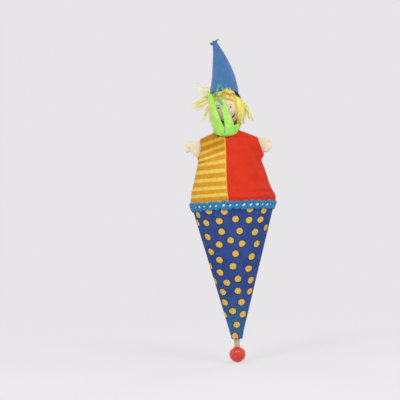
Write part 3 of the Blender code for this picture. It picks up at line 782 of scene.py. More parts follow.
FRONT_DOT_PIXELS = [
    (197.4, 222.9), (197.9, 214.8), (208.8, 211.0), (224.3, 211.5), (250.0, 209.0), (264.2, 210.4),
    (206.0, 222.9), (219.3, 221.0), (235.6, 219.1), (249.0, 220.0), (260.6, 219.7), (265.9, 227.5),
    (221.6, 231.7), (239.6, 231.0), (254.9, 232.2), (207.6, 237.0), (230.7, 240.3), (219.3, 244.7),
    (242.0, 243.7), (256.9, 243.9), (210.9, 251.9), (235.6, 253.8), (251.5, 256.7), (219.6, 259.9),
    (233.0, 266.4), (248.4, 268.7), (210.4, 265.9), (220.2, 272.6), (237.9, 278.9), (250.9, 280.2),
    (214.6, 280.9), (227.0, 282.9), (222.8, 292.1), (237.9, 291.0), (250.0, 291.3), (224.7, 302.5),
    (241.4, 302.3), (232.8, 311.4), (242.8, 314.4), (224.6, 314.7), (236.9, 324.8), (234.9, 336.0),
]
LEAST_DOT_GAP = 10.6
BACK_DOT_TRIES = 2600
BACK_DOT_ANGLES = (math.radians(-1.0), math.radians(181.0))
BACK_SEAM = math.pi / 2
CONE_COVER = 0.45
CONE_CARD = 1.2
CARD_SINK = 0.6
BRAID_LOOPS = 38
BRAID_Z = (BRAID_LOW_Z + BRAID_HIGH_Z) / 2 - 1.2
LOOP_HALF_WIDTH = 2.75
LOOP_HALF_HEIGHT = 2.55
CORD_RADIUS = 1.5
CORD_FLATNESS = 0.5
CORD_SEAT = 0.95
TAPE_SECTION = [(-1.7, 0.55), (-1.7, 0.75), (-0.8, 0.95), (0.8, 0.95), (1.7, 0.75), (1.7, 0.55)]


def round_the_cone(columns):
    """Angles once round the cone, from the back seam to the back seam."""
    return np.linspace(BACK_SEAM - 2 * math.pi, BACK_SEAM, columns)


def unrolled(angle, z):
    """Flat places of the cone's cover, cut down the back and laid out."""
    slant = math.hypot(1.0, CONE_SLOPE)
    apex_z = CONE_TIP_Z - CONE_TIP_RADIUS / CONE_SLOPE
    length = (z - apex_z) * slant
    sweep = (angle + math.pi / 2) * CONE_SLOPE / slant
    return xyz(length * np.sin(sweep), length * np.cos(sweep), 0.0)


def on_cone(angle, z):
    """A point on the covered cone."""
    return around(cone_radius(z), angle, z)


def front_dot(pixel):
    """Angle and height on the cone of a dot that the photograph shows."""
    y = 0.0
    for _ in range(4):
        x, z = photo_place(pixel, y)
        side = x - CONE_HANG * (z - CONE_TIP_Z) / CONE_HEIGHT
        share = np.clip(side / cone_radius(z), -0.97, 0.97)
        y = -cone_radius(z) * math.sqrt(1 - share ** 2)
    return -math.acos(share), z


def dot_places():
    """Angle and height of each dot: in front as in the photograph, and scattered as densely behind."""
    places = [front_dot(pixel) for pixel in FRONT_DOT_PIXELS]
    points = [on_cone(*place) for place in places]
    rng = np.random.default_rng(5)
    for _ in range(BACK_DOT_TRIES):
        z = CONE_TIP_Z + 4.0 + (CONE_HEIGHT - 5.0) * math.sqrt(rng.uniform(0.0, 1.0))
        angle = rng.uniform(*BACK_DOT_ANGLES)
        here = on_cone(angle, z)
        if np.linalg.norm(np.array(points) - here, axis=1).min() > LEAST_DOT_GAP:
            places.append((angle, z))
            points.append(here)
    return np.array(places)


def dot_reach(flat, angle):
    """Distance from each flat place to the nearest dot's middle. Dots at the sides are a little wider."""
    dot_angle, dot_z = dot_places().T
    centres = unrolled(np.where(dot_angle > BACK_SEAM, dot_angle - 2 * math.pi, dot_angle), dot_z)
    widen = np.clip(1 / np.maximum(np.abs(np.sin(angle)), 0.2), 1.0, 1.35)[:, None]
    across = (flat[..., :1] - centres[:, 0]) / widen
    return np.min(np.hypot(across, flat[..., 1:2] - centres[:, 1]), axis=-1)


def build_cone():
    """Dotted cotton glued round the card, gathered a little at the tip and lapped down the back."""
    z = CONE_TIP_Z + shares(200)[:, None] * CONE_HEIGHT
    angle = round_the_cone(288)
    gather = 1.0 - ease(z, CONE_TIP_Z, CONE_TIP_Z + 9.0)
    ripple = gather * (0.22 * np.cos(9 * angle) + 0.12 * np.cos(14 * angle + 1.0))
    uneven = gather * (0.6 + 0.8 * np.sin(5 * angle + 0.6))
    lap = CONE_COVER * ease(angle, BACK_SEAM - 0.28, BACK_SEAM - 0.22)
    radius = cone_radius(z) + ripple + lap * ease(z, CONE_TIP_Z, CONE_TIP_Z + 4.0)
    points = around(radius, angle, z - uneven)
    points[..., :2] *= 1 + 0.004 * roughen(points, 16.0, 3)[..., None]
    flat = unrolled(angle, z)
    cover = add_piece(
        "cone_cover_dotted", grid(hang_over(points)), dotted_cotton_look(),
        ["cone_cover"], "cone", inside=(0, 0, 90), cloth=flat,
        numbers={"dot": dot_reach(flat, angle)}, thickness=CONE_COVER,
    )


def build_card():
    """Rolled card inside the cover, lapped behind."""
    rows = 40
    upward = np.linspace(CONE_TIP_Z + 0.6, CONE_RIM_Z - 0.4, rows)
    z = np.concatenate([upward, upward[::-1]])[:, None]
    sink = np.repeat([CARD_SINK, CARD_SINK + CONE_CARD], rows)[:, None]
    card = grid(hang_over(around(cone_radius(z) - sink, round_the_cone(120), z)), wrap_rows=True)
    add_piece("cone_card_rolled", card, card_look(), ["cone_card"], "cone")


def braid_loop(centre, rise, tilt):
    """One flat loop of twisted cord at an angle round the rim, a little taller and tilted."""
    turn = circle(56)[:, None]
    twist = circle(12)
    strand = CORD_RADIUS * (1 + 0.2 * np.cos(3 * twist + 14 * turn))
    outward_x = np.cos(turn) * LOOP_HALF_HEIGHT
    outward_z = np.sin(turn) * LOOP_HALF_WIDTH
    wide = strand * np.cos(twist) / np.hypot(outward_x, outward_z)
    across = LOOP_HALF_WIDTH * np.cos(turn)
    up = (LOOP_HALF_HEIGHT + rise) * np.sin(turn) + tilt * across
    z = BRAID_Z + up + wide * outward_z
    base = cone_radius(np.minimum(z, CONE_RIM_Z)) + CORD_SEAT
    radius = base + 0.4 * np.cos(turn) + CORD_FLATNESS * strand * np.sin(twist)
    angle = centre + (across + wide * outward_x) / base
    return grid(hang_over(around(radius, angle, z)), wrap_rows=True, wrap_columns=True)


def build_braid():
    """A chain of overlapping cord loops round the rim, with a white tape behind the eyelets."""
    rng = np.random.default_rng(11)
    loops = []
    for loop in range(BRAID_LOOPS):
        centre = 2 * math.pi * loop / BRAID_LOOPS + rng.uniform(-0.012, 0.012)
        rise = rng.uniform(-0.4, 0.3)
        tilt = rng.uniform(-0.05, 0.4)
        loops.append(braid_loop(centre, rise, tilt))
    look = thread_look("blue_braid", colour(8, 88, 146), colour(46, 148, 197))
    add_piece("rim_braid_loops", join_shapes(loops), look, ["rim_braid"], "cone")

    angle = circle(6 * BRAID_LOOPS)
    height, lift = np.array(TAPE_SECTION).T[:, :, None]
    z = BRAID_Z + height + 0.25 * np.sin(BRAID_LOOPS * angle)
    tape = grid(hang_over(around(cone_radius(z) + lift, angle, z)), wrap_rows=True, wrap_columns=True)
    tape_look = thread_look("white_tape", colour(206, 210, 214), colour(240, 242, 244))
    add_piece("rim_braid_tape", tape, tape_look, ["rim_braid"], "cone")


# Dress. Profiles go by height; the half width and half depth are those of the dress's outline.

CLOTH = 0.5
SLEEVE_CLOTH = 0.35
SEAT = 0.55
HEM_STATION = (HEM_Z - 1, cone_radius(HEM_Z - 1) + SEAT)
NECK_STATION = (DRESS_TOP_Z + 1, 6.9)
SEAM_GAP = 0.02
BINDING_TURNS = 5
BINDING_RADIUS = 7.45
BINDING_THREAD = 0.32
YELLOW_STRIPE_HEIGHTS = (132.0, 139.4, 146.8, 153.0, 160.3, 168.4, 176.8, 185.5, 192.1, 199.5, 208.0)
STRIPE_SLOPE = profile([
    (130, 0.0), (146.8, 0.03), (153, 0.04), (160.3, 0.02), (168.4, 0.045), (173, 0.06), (176.8, 0.09),
    (181, 0.2), (185.5, 0.31), (192, 0.32), (200, 0.33),
], 2.0)
FRONT_SEAM = profile([(133, -3.1), (141, -3.2), (148, -3.9), (161, -3.9), (181, -3.3), (199, -3.1)], 3.0)
TORSO_HALF_WIDTH = profile([
    HEM_STATION, (CONE_RIM_Z, CONE_RIM_RADIUS + SEAT), (143, 39.1), (147, 37.6), (155.6, 35.1), (168, 31.8),
    (174, 29.9), (176.6, 29.3), (178.4, 29.4), (180.4, 30.5), (182, 30.8), (184, 29.0), (187, 26.8),
    (191, 24.4), (195, 22.4), (199, 20.6), (202, 16.6), (204.5, 11.4), (206.5, 7.4), NECK_STATION,
], 1.5)
TORSO_HALF_DEPTH = profile([
    HEM_STATION, (CONE_RIM_Z, CONE_RIM_RADIUS + SEAT - 0.3), (140.8, 39.2), (142.8, 40.5), (145.6, 39.4),
    (148.5, 37.5), (155.6, 32.4), (168, 26.2), (180, 20.4), (190, 15.6), (198, 11.0), (203, 8.0),
    (206.5, 7.2), NECK_STATION,
], 1.4)
TORSO_SHIFT = profile([
    (HEM_Z - 1, CONE_HANG), (CONE_RIM_Z, CONE_HANG), (143, 2.0), (145.5, 1.6), (147.5, 0.9), (150, 0.6),
    (156, 0.5), (168, 0.4), (174, 0.2), (177, -0.2), (180.2, 1.0), (182, 1.1), (186, 0.3), (200, 0.0),
    (DRESS_TOP_Z + 1, 0.0),
], 2.0)

# Creases of the front: (x, z) places, width and depth
FRONT_CREASES = [
    ([(-31.0, 176.0), (-27.5, 176.2), (-23.5, 176.6)], 0.7, -1.7),
    ([(8.0, 195.5), (15.0, 193.6), (20.5, 190.0), (26.0, 183.4)], 2.6, -0.6),
    ([(5.0, 147.6), (16.0, 146.6), (33.0, 147.2)], 1.5, -1.3),
    ([(3.0, 156.6), (12.0, 157.6), (24.0, 158.4)], 2.4, -0.6),
    ([(-34.0, 148.5), (-20.0, 147.8), (-6.0, 149.0)], 1.6, -0.35),
    ([(-24.0, 194.5), (-15.0, 198.0), (-8.0, 200.5)], 1.6, -0.5),
    ([(-9.0, 202.0), (-11.5, 197.0), (-12.5, 192.0)], 0.8, -0.8),
    ([(-15.5, 199.0), (-18.5, 194.0), (-20.5, 189.0)], 0.8, -0.6),
    ([(6.0, 176.0), (14.0, 172.0), (24.0, 171.0)], 2.6, -0.4),
]

# Upper and lower edge of a sleeve as (distance from the middle, height), at the body and at the hand
SLEEVE_TOP = np.array([(13.0, 204.2), (26.4, 198.4)])
SLEEVE_LOW = {-1: np.array([(17.0, 181.0), (28.8, 180.1)]), 1: np.array([(17.0, 181.0), (32.0, 181.5)])}
SLEEVE_DEPTHS = (9.2, 4.3)
SLEEVE_END_CURVE = {-1: 1.7, 1: 0.4}
SLEEVE_Z = 190.0


def stripe_height(points):
    """Which stripe a place is on, in periods. Stripes rise to the front seam, most in the sleeve."""
    seen_z = points[..., 2] + np.minimum(points[..., 1], 0.0) * math.tan(CAMERA_RISE)
    away = np.minimum(points[..., 0] - FRONT_SEAM(points[..., 2]), 0.0)
    at_seam = seen_z
    for _ in range(12):
        at_seam = seen_z - STRIPE_SLOPE(at_seam) * away
    return np.interp(at_seam, YELLOW_STRIPE_HEIGHTS, np.arange(len(YELLOW_STRIPE_HEIGHTS)) + 0.5)


def crease_depth(points):
    """How far the front sinks or rises along its creases."""
    total = np.zeros(points.shape[:-1])
    for route, width, depth in FRONT_CREASES:
        gap = gap_to(curve_through(route, 40), points)
        total += depth * fade(gap, width) - 0.45 * depth * fade(gap - 2.2 * width, 1.2 * width)
    return total


def panel_lift(points, angle, from_side, from_seam, striped, front):
    """How far a panel stands out: waves, neck pleats, creases and wrinkles, less where it is sewn."""
    phase = 0.0 if front else 2.1
    z = points[..., 2]
    loose = ease(z, CONE_RIM_Z, CONE_RIM_Z + 8.0)
    neck = ease(z, 193.0, 206.0)
    waves = loose * (1 - neck) * 0.55 * np.cos(7 * angle + phase)
    pleats = 0.75 * neck * (1 - ease(z, TIE_Z, TIE_Z + 2.0)) * np.cos(17 * angle + phase)
    sewn = -0.25 * fade(from_seam, 0.8) - 0.35 * fade(from_side, 0.9)
    wrinkles = 0.5 * roughen(points, 14.0, 1 + striped + 2 * front)
    wrinkles += 0.2 * roughen(points, 5.0, 7 + striped)
    creases = crease_depth(points) if front else 0.7 * crease_depth(points * (-1, 1, 1) + (0, 0, 1.5))
    off_side = 1 - fade(from_side, 4.0)
    off_seam = 1 - fade(from_seam, 3.0)
    return sewn + off_side * (waves + pleats + loose * (creases + off_seam * wrinkles))


def build_torso_panel(striped, front, look):
    """One quarter of the dress, from the hem to the tied neck."""
    z = np.linspace(HEM_Z, DRESS_TOP_Z, 96)[:, None]
    half_width = TORSO_HALF_WIDTH(z)
    half_depth = TORSO_HALF_DEPTH(z)
    girth_radius = (half_width + half_depth) / 2
    seam_x = (FRONT_SEAM(z) - TORSO_SHIFT(z)) * ease(-z, -TIE_Z, -TIE_Z + 6.0) * front
    seam_angle = np.arccos(np.clip(seam_x / half_width, -1.0, 1.0))
    side_angle = math.pi if striped else 0.0
    gap = SEAM_GAP / half_width * (-1 if striped else 1)
    angle = side_angle + gap + (seam_angle - side_angle - 2 * gap) * shares(76)
    from_side = np.abs(angle - side_angle) * girth_radius
    from_seam = np.abs(angle - seam_angle) * half_width
    outward = around(1.0, angle, 0.0) * (1, -1 if front else 1, 0)
    points = outward * xyz(half_width, half_depth, 0.0) + xyz(0.0, 0.0, z)
    points += outward * panel_lift(points, angle, from_side, from_seam, striped, front)[..., None]
    points[..., 0] += TORSO_SHIFT(z)

    cloth = "striped" if striped else "red"
    node = f"dress_{'front' if front else 'back'}_{cloth}"
    panel = add_piece(
        node + "_torso", grid(points), look, [node],
        inside=(0, 0, 165), cloth=xyz(angle * girth_radius, z * 1.1, 0.0), thickness=CLOTH,
        numbers={"stripe": stripe_height(points), "seam": from_seam} if striped else None,
    )
    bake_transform(panel)


def sleeve_points(side, share, sink, turn):
    """Points of a sleeve by the share of its length, the depth under its surface and the angle round it."""
    top = SLEEVE_TOP[0] + share * (SLEEVE_TOP[1] - SLEEVE_TOP[0])
    low = SLEEVE_LOW[side][0] + share * (SLEEVE_LOW[side][1] - SLEEVE_LOW[side][0])
    middle = (top + low) / 2
    half = (top - low) / 2
    half = half - sink * unit(half)
    depth = SLEEVE_DEPTHS[0] + (SLEEVE_DEPTHS[1] - SLEEVE_DEPTHS[0]) * share + 1.3 * np.sin(math.pi * share)
    x = middle[:, :1] + half[:, :1] * np.cos(turn) - SLEEVE_END_CURVE[side] * np.sin(turn) ** 2 * share ** 2
    y = -(depth - sink) * signed_power(np.sin(turn), 0.85)
    return xyz(side * x, y, middle[:, 1:] + half[:, 1:] * np.cos(turn))


def build_sleeve(side, look):
    """A short sleeve, from inside the dress to a turned hem round the hand."""
    rows, hem_rows = 40, 6
    share = np.concatenate([shares(rows), np.linspace(0.995, 0.86, hem_rows)])[:, None]
    sink = np.repeat([0.0, CLOTH + 0.15], [rows, hem_rows])[:, None]
    turn = circle(112)
    points = sleeve_points(side, share, sink, turn)
    striped = side < 0
    folds = 0.45 * roughen(points, 8.0, 21 + side) + 0.25 * roughen(points, 3.5, 25 + side)
    if striped:
        folds += crease_depth(points) * 0.5
    loose = ease(share, 0.0, 0.3) * (1 - 0.6 * ease(share, 0.8, 1.0)) * np.abs(np.sin(turn))
    points[..., 1] += np.sign(points[..., 1]) * loose * folds

    word = SIDE_WORDS[side]
    cloth = "striped" if striped else "red"
    far_from_seam = np.full(loose.shape, 9.0)
    sleeve = add_piece(
        "sleeve_" + word, grid(points, wrap_columns=True), look,
        ["dress_front_" + cloth, "dress_back_" + cloth], inside=(side * 22, 0, SLEEVE_Z),
        cloth=xyz(points[..., 0], points[..., 2], 0.0), thickness=SLEEVE_CLOTH,
        numbers={"stripe": stripe_height(points), "seam": far_from_seam} if striped else None,
    )
    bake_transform(sleeve)


def build_binding():
    """Thread wound round the neck of the dress."""
    t = shares(240)
    route = around(BINDING_RADIUS, 2 * math.pi * BINDING_TURNS * t, TIE_Z + 0.3 + 1.7 * t)
    thread = tubes([route], BINDING_THREAD, 8)
    look = thread_look("binding_thread", colour(188, 182, 168), colour(222, 216, 202))
    add_piece("neck_binding_thread", thread, look, ["neck_binding"], "puppet")


def build_dress():
    striped_look = striped_cotton_look()
    red_look = red_cotton_look()
    for front in (True, False):
        build_torso_panel(True, front, striped_look)
        build_torso_panel(False, front, red_look)
    build_sleeve(-1, striped_look)
    build_sleeve(1, red_look)
    build_binding()


# Hands. A lobe is its middle, its half sizes across and up, its half thickness and its lean.

HAND_LOBES = {
    1: [
        ((28.0, 190.8), (6.5, 7.6), 1.9, 0.0), ((33.2, 191.4), (5.4, 6.9), 2.2, 0.0),
        ((36.5, 191.0), (3.4, 5.2), 2.0, 0.0), ((34.0, 187.4), (3.6, 3.8), 2.0, 0.2),
        ((35.8, 188.6), (3.2, 3.3), 2.0, 0.0),
    ],
    -1: [
        ((28.5, 189.6), (6.0, 8.0), 1.9, 0.0), ((32.6, 191.0), (4.6, 6.4), 2.2, 0.15),
        ((36.4, 192.3), (4.2, 4.3), 2.1, 0.1), ((38.3, 189.4), (2.4, 3.3), 1.9, 0.1),
        ((31.4, 186.4), (2.9, 3.6), 1.9, 0.6),
    ],
}
HAND_GROOVES = {
    1: [(33.6, 184.6), (34.2, 186.4)],
    -1: [(34.2, 185.2), (35.4, 187.0), (36.9, 190.4)],
}
GROOVE_DEPTHS = {1: 0.25, -1: 0.85}
GROOVE_WIDTH = 0.55


def hand_lobes(side):
    """A rough mesh of the overlapping lobes of a hand."""
    shape = bmesh.new()
    for (x, z), (half_x, half_z), half_y, lean in HAND_LOBES[side]:
        made = bmesh.ops.create_icosphere(shape, subdivisions=5, radius=1.0)
        for vertex in made["verts"]:
            across, up = vertex.co.x * half_x, vertex.co.z * half_z
            vertex.co = Vector((
                side * (x + across * math.cos(lean) + up * math.sin(lean)),
                vertex.co.y * half_y,
                z + up * math.cos(lean) - across * math.sin(lean),
            )) * MM
    rough = bpy.data.meshes.new("hand_rough")
    shape.to_mesh(rough)
    shape.free()
    return rough


def hand_skin(side):
    """One closed skin over the lobes of a hand."""
    draft = add_object("hand_draft", hand_lobes(side))
    remesh = draft.modifiers.new("one_skin", "REMESH")
    remesh.mode = "VOXEL"
    remesh.voxel_size = 0.3 * MM
    soften = draft.modifiers.new("soften", "SMOOTH")
    soften.iterations = 8
    skin = draft.evaluated_get(bpy.context.evaluated_depsgraph_get()).to_mesh()
    points = np.array([vertex.co for vertex in skin.vertices]) / MM
    faces = [list(face.vertices) for face in skin.polygons]
    bpy.data.objects.remove(draft, do_unlink=True)
    return points, faces


def build_hand(side):
    """Plump felt mitten with a groove beside the thumb."""
    word = SIDE_WORDS[side]
    node = "hand_" + word
    points, faces = hand_skin(side)
    gap = gap_to(curve_through([(side * x, z) for x, z in HAND_GROOVES[side]], 30), points)
    groove = GROOVE_DEPTHS[side] * fade(gap, GROOVE_WIDTH)
    points[:, 1] *= 1 + 0.05 * roughen(points, 3.5, 31 + side) - groove
    look = felt_look("cream_felt_" + word, colour(218, 206, 172), colour(231, 221, 194), 0.14)
    hand = add_piece(node + "_felt", (points, faces), look, [node], "arm_" + word)


# Hair. Azimuth goes round Z and polar down from the crown, both in degrees in these lists.

FACE_AZIMUTH = -90.0 + math.degrees(FACE_TURN)
LINING_AZIMUTH = -20.0
HAIRLINE = profile([
    (0, 57), (20, 61), (32, 65), (39, 73), (45, 92), (51, 112), (56, 134), (64, 142), (180, 142),
], 3.0)

# Clumps of loose strands: root azimuth and polar, tip x, y, z, spread and count
LEFT_CLUMPS = [
    (178, 44, -27.6, 0.0, 249.6, 0.9, 7), (177, 46, -26.8, -1.0, 244.0, 1.5, 10),
    (178, 50, -23.0, -1.0, 239.0, 1.8, 14), (180, 50, -24.0, 0.0, 234.0, 2.0, 16),
    (180, 52, -31.8, 0.5, 231.6, 1.4, 14), (181, 53, -31.2, 0.0, 229.0, 1.5, 16),
    (182, 54, -30.6, -0.5, 226.6, 1.5, 16), (183, 56, -28.6, -0.5, 224.6, 1.6, 12),
    (184, 60, -26.5, 0.0, 227.6, 1.8, 14), (190, 74, -23.6, -1.0, 215.4, 1.4, 12),
    (192, 76, -21.0, -1.5, 218.0, 1.6, 10), (196, 76, -14.8, -4.0, 209.5, 0.8, 18),
    (194, 72, -16.6, -3.0, 214.0, 1.0, 12), (172, 66, -19.0, 3.0, 222.0, 2.0, 14),
    (166, 74, -15.2, 4.5, 214.0, 1.6, 14),
]
RIGHT_CLUMPS = [
    (-12, 70, 23.2, -1.0, 214.4, 0.7, 24), (-10, 70, 22.0, -0.5, 217.6, 0.9, 18),
    (-13, 72, 20.2, -1.0, 215.4, 0.8, 18), (-30, 74, 14.0, -4.0, 214.4, 1.0, 36),
    (-36, 76, 12.2, -6.0, 211.0, 0.9, 44), (-42, 78, 11.0, -7.4, 213.0, 0.9, 30),
    (-4, 78, 14.6, 2.0, 217.0, 1.2, 26), (6, 80, 13.8, 4.0, 213.0, 1.4, 26),
    (-22, 72, 14.8, -2.0, 223.0, 1.0, 20),
]
STRAND_STEPS = 14
FRINGE_STEPS = 16
STRAND_SIDES = 6


def degrees_from(azimuth, middle):
    """How many degrees round Z an angle is from a middle one, at most 180."""
    return np.abs((np.degrees(azimuth) - middle + 180.0) % 360.0 - 180.0)


def hairline(azimuth):
    """How far down from the crown the hair reaches, in degrees: short over the face, long at the sides."""
    return HAIRLINE(degrees_from(azimuth, FACE_AZIMUTH))


def off_face(paths, slack):
    """Only the strands that stay out of the face."""
    azimuth = np.arctan2(paths[:, :, 1], paths[:, :, 0])
    across = np.hypot(paths[:, :, 0], paths[:, :, 1]) / HEAD_HALF_WIDTH
    polar = np.degrees(np.arctan2(across, (paths[:, :, 2] - HEAD_Z) / HEAD_HALF_HEIGHT))
    inside = (degrees_from(azimuth, FACE_AZIMUTH) < 60.0) & (polar > hairline(azimuth) + slack)
    return paths[~inside.any(axis=1)]


def under_lining(azimuth):
    """1 where the hat's lining hangs out over the hair, 0 away from it."""
    return fade(degrees_from(azimuth, LINING_AZIMUTH), 37.0)


def cushion(azimuth, polar):
    """Thickness of the hair: full where it fills the hat's opening, and thin under the hanging lining."""
    full = 2.5 * (1 - 0.9 * under_lining(azimuth))
    return 0.75 + full * fade(np.degrees(polar) - 42.0, 13.0)


def drawn_angles(rng, limits, count):
    """Angles drawn between two limits in degrees, one for each strand."""
    return np.radians(rng.uniform(*limits, count))[:, None]


def scalp_strands(rng, count, azimuths, roots, tips, drift, lift):
    """Strands that lie on the hair, from a root angle to a tip angle down from the crown."""
    t = shares(STRAND_STEPS)
    azimuth = drawn_angles(rng, azimuths, count)
    root = drawn_angles(rng, roots, count)
    tip = drawn_angles(rng, tips, count)
    bends = rng.normal(0.0, 1.0, (count, 4, 1))
    swing = azimuth + np.radians(drift) * t ** 1.3 + np.radians(5.0) * bends[:, 0] * t
    swing = swing + np.radians(2.0) * np.sin(t * 7 + bends[:, 1] * 3)
    polar = root + (tip - root) * t
    height = lift[0] + (lift[1] - lift[0]) * t + 0.45 * np.abs(bends[:, 2]) * t
    height = height + 0.25 * np.sin(t * 9 + bends[:, 3] * 4)
    return on_head(swing, polar, cushion(swing, polar) + positive(height))


def swept_strands(rng, count, azimuths, ends, tips, lift):
    """Strands of the fringe that go sideways to an end angle first, then down beside the face."""
    t = shares(FRINGE_STEPS)
    azimuth = drawn_angles(rng, azimuths, count)
    end = drawn_angles(rng, ends, count)
    root = drawn_angles(rng, (30, 44), count)
    tip = drawn_angles(rng, tips, count)
    bends = rng.normal(0.0, 1.0, (count, 2, 1))
    swing = azimuth + (end - azimuth) * ease(t, 0.0, 0.62)
    swing = swing + np.radians(1.6) * np.sin(t * 8 + bends[:, 0] * 3)
    polar = root + (tip - root) * t ** 1.9
    height = lift * (0.4 + 0.6 * np.sin(math.pi * t ** 0.8)) + 0.3 * np.abs(bends[:, 1]) * t
    pressed = under_lining(swing) * (1 - ease(polar, math.radians(54), math.radians(68)))
    return on_head(swing, polar, cushion(swing, polar) + height * (1 - 0.8 * pressed))


def free_strand(rng, azimuth, polar, tip, spread):
    """One strand that leaves the head and ends near a tip."""
    azimuth = math.radians(azimuth + rng.normal(0, 7))
    polar = math.radians(polar + rng.normal(0, 5))
    root = on_head(azimuth, polar, 0.3)
    out = on_head(azimuth, polar, 5.6 + rng.normal(0, 1.0)) - root
    tip = np.array(tip) + rng.normal(0, 1, 3) * spread * (0.8, 1.0, 0.8)
    reach = tip - root
    bend_out = root + out * 0.8 + reach * 0.15
    bend_down = tip - reach * 0.35 + (0.0, 0.0, 1.6 + rng.normal(0, 0.8))
    path = bezier(STRAND_STEPS, root, bend_out, bend_down, tip)
    t = shares(STRAND_STEPS)[:, None]
    wave = 0.3 * np.sin(t * 8 + rng.uniform(0, 6)) * t
    return path + wave * rng.normal(0, 1, 3)


def free_strands(rng, clumps):
    """Strands of several clumps."""
    paths = []
    for azimuth, polar, *tip, spread, count in clumps:
        paths += [free_strand(rng, azimuth, polar, tip, spread) for _ in range(count)]
    return np.array(paths)


def tucked_strands(rng, count, azimuths):
    """Strands at the sides and behind that hang straight down into the collar."""
    paths = []
    for _ in range(count):
        azimuth = math.radians(rng.uniform(*azimuths))
        root = on_head(azimuth, math.radians(rng.uniform(84, 104)), 1.2)
        middle = on_head(azimuth, math.radians(rng.uniform(112, 124)), rng.uniform(1.8, 3.6))
        tip = around(rng.uniform(7.0, 11.0), azimuth, rng.uniform(206.4, 208.6))
        paths.append(bezier(STRAND_STEPS, root, middle, tip))
    return np.array(paths)


def poking_strands(rng, count):
    """A few short ends that stand up before the edge of the hat."""
    paths = []
    for _ in range(count):
        azimuth = math.radians(rng.uniform(-104, -74))
        root = on_head(azimuth, math.radians(50), 2.6)
        middle = on_head(azimuth, math.radians(46), 5.0)
        tip = on_head(azimuth + rng.normal(0, 0.1), math.radians(38), 6.6 + rng.normal(0, 0.8))
        paths.append(bezier(STRAND_STEPS, root, middle, tip))
    return np.array(paths)


def resample(paths, steps):
    """The same strands with another number of points."""
    old, new = shares(paths.shape[1]), shares(steps)
    columns = [[np.interp(new, old, column) for column in path.T] for path in paths]
    return np.array(columns).transpose(0, 2, 1)


def hair_piece(node, paths, rng, look, radius, pale, free=False):
    """Fibres along the paths, thinner to the tip. They lie flat to the head, or to the front where free."""
    count, steps = paths.shape[:2]
    t = shares(steps)
    radii = radius * rng.uniform(0.7, 1.25, (count, 1)) * (1 - 0.55 * t ** 2)
    points, faces = tubes(paths, radii, STRAND_SIDES)
    middles = np.repeat(paths.reshape(-1, 3), STRAND_SIDES, axis=0)
    outward = np.array([[0.0, 1.0, 0.0]]) if free else unit(middles - (0.0, 0.0, HEAD_Z))
    offset = points - middles
    depth = np.sum(offset * outward, axis=1, keepdims=True) * outward
    points = middles + 1.7 * (offset - depth) + 0.6 * depth
    numbers = {
        "tone": np.repeat(rng.uniform(0.0, 1.0, count), steps * STRAND_SIDES),
        "pale": np.repeat(np.tile(pale[0] + (pale[1] - pale[0]) * t, count), STRAND_SIDES),
    }
    add_piece(node + "_strands", (points, faces), look, [node], "puppet", numbers=numbers)


def build_hair_cap(look):
    """Matted layer under the strands, so that no bare head shows between them."""
    azimuth = circle(120)
    share = np.linspace(0.001, 1.0, 30)[:, None]
    polar = share * np.radians(hairline(azimuth))
    points = on_head(azimuth, polar, cushion(azimuth, polar) * (1 - ease(share, 0.9, 1.0)) + 0.1)
    combed = points * (1.0, 1.0, 0.12)
    points[..., :2] *= 1 + 0.012 * roughen(combed, 1.1, 41)[..., None]
    numbers = {"tone": 0.25 + 0.2 * roughen(combed, 0.8, 43), "pale": np.zeros(polar.shape)}
    add_piece(
        "hair_cap", cup(points), look, ["hair_crown"], "puppet",
        inside=(0, 0, HEAD_Z), numbers=numbers, thickness=0.5,
    )


def build_hair():
    look = hair_look()
    rng = np.random.default_rng(21)
    build_hair_cap(look)
    crown = [
        scalp_strands(rng, 460, (-30, 212), (30, 60), (100, 122), 0.0, (0.2, 1.0)),
        scalp_strands(rng, 190, (-56, -20), (34, 50), (108, 140), 6.0, (0.2, 1.4)),
        scalp_strands(rng, 110, (194, 212), (34, 50), (106, 128), 4.0, (0.2, 1.4)),
        tucked_strands(rng, 300, (-44, 214)),
    ]
    hair_piece("hair_crown", off_face(np.vstack(crown), 8.0), rng, look, 0.17, (0.0, 0.2))
    fringe = [
        scalp_strands(rng, 160, (-118, -66), (34, 44), (56, 70), 12.0, (0.3, 0.8)),
        scalp_strands(rng, 120, (-168, -112), (34, 44), (54, 68), -6.0, (0.3, 0.8)),
        swept_strands(rng, 260, (-112, -66), (-62, -26), (76, 118), 1.3),
        swept_strands(rng, 80, (-124, -96), (-172, -152), (66, 96), 1.1),
        poking_strands(rng, 18),
    ]
    fringe = np.vstack([resample(paths, FRINGE_STEPS) for paths in fringe])
    hair_piece("hair_fringe", off_face(fringe, 6.0), rng, look, 0.17, (0.0, 0.1))
    fan = free_strands(rng, LEFT_CLUMPS)
    # Its strands are pale from root to tip, partly painted light that lifts the shade inside the fan
    hair_piece("hair_tuft_striped_side", fan, rng, look, 0.13, (0.45, 1.0), free=True)
    lock = off_face(free_strands(rng, RIGHT_CLUMPS), 8.0)
    hair_piece("hair_tuft_red_side", lock, rng, look, 0.15, (0.05, 0.75), free=True)


# Hat

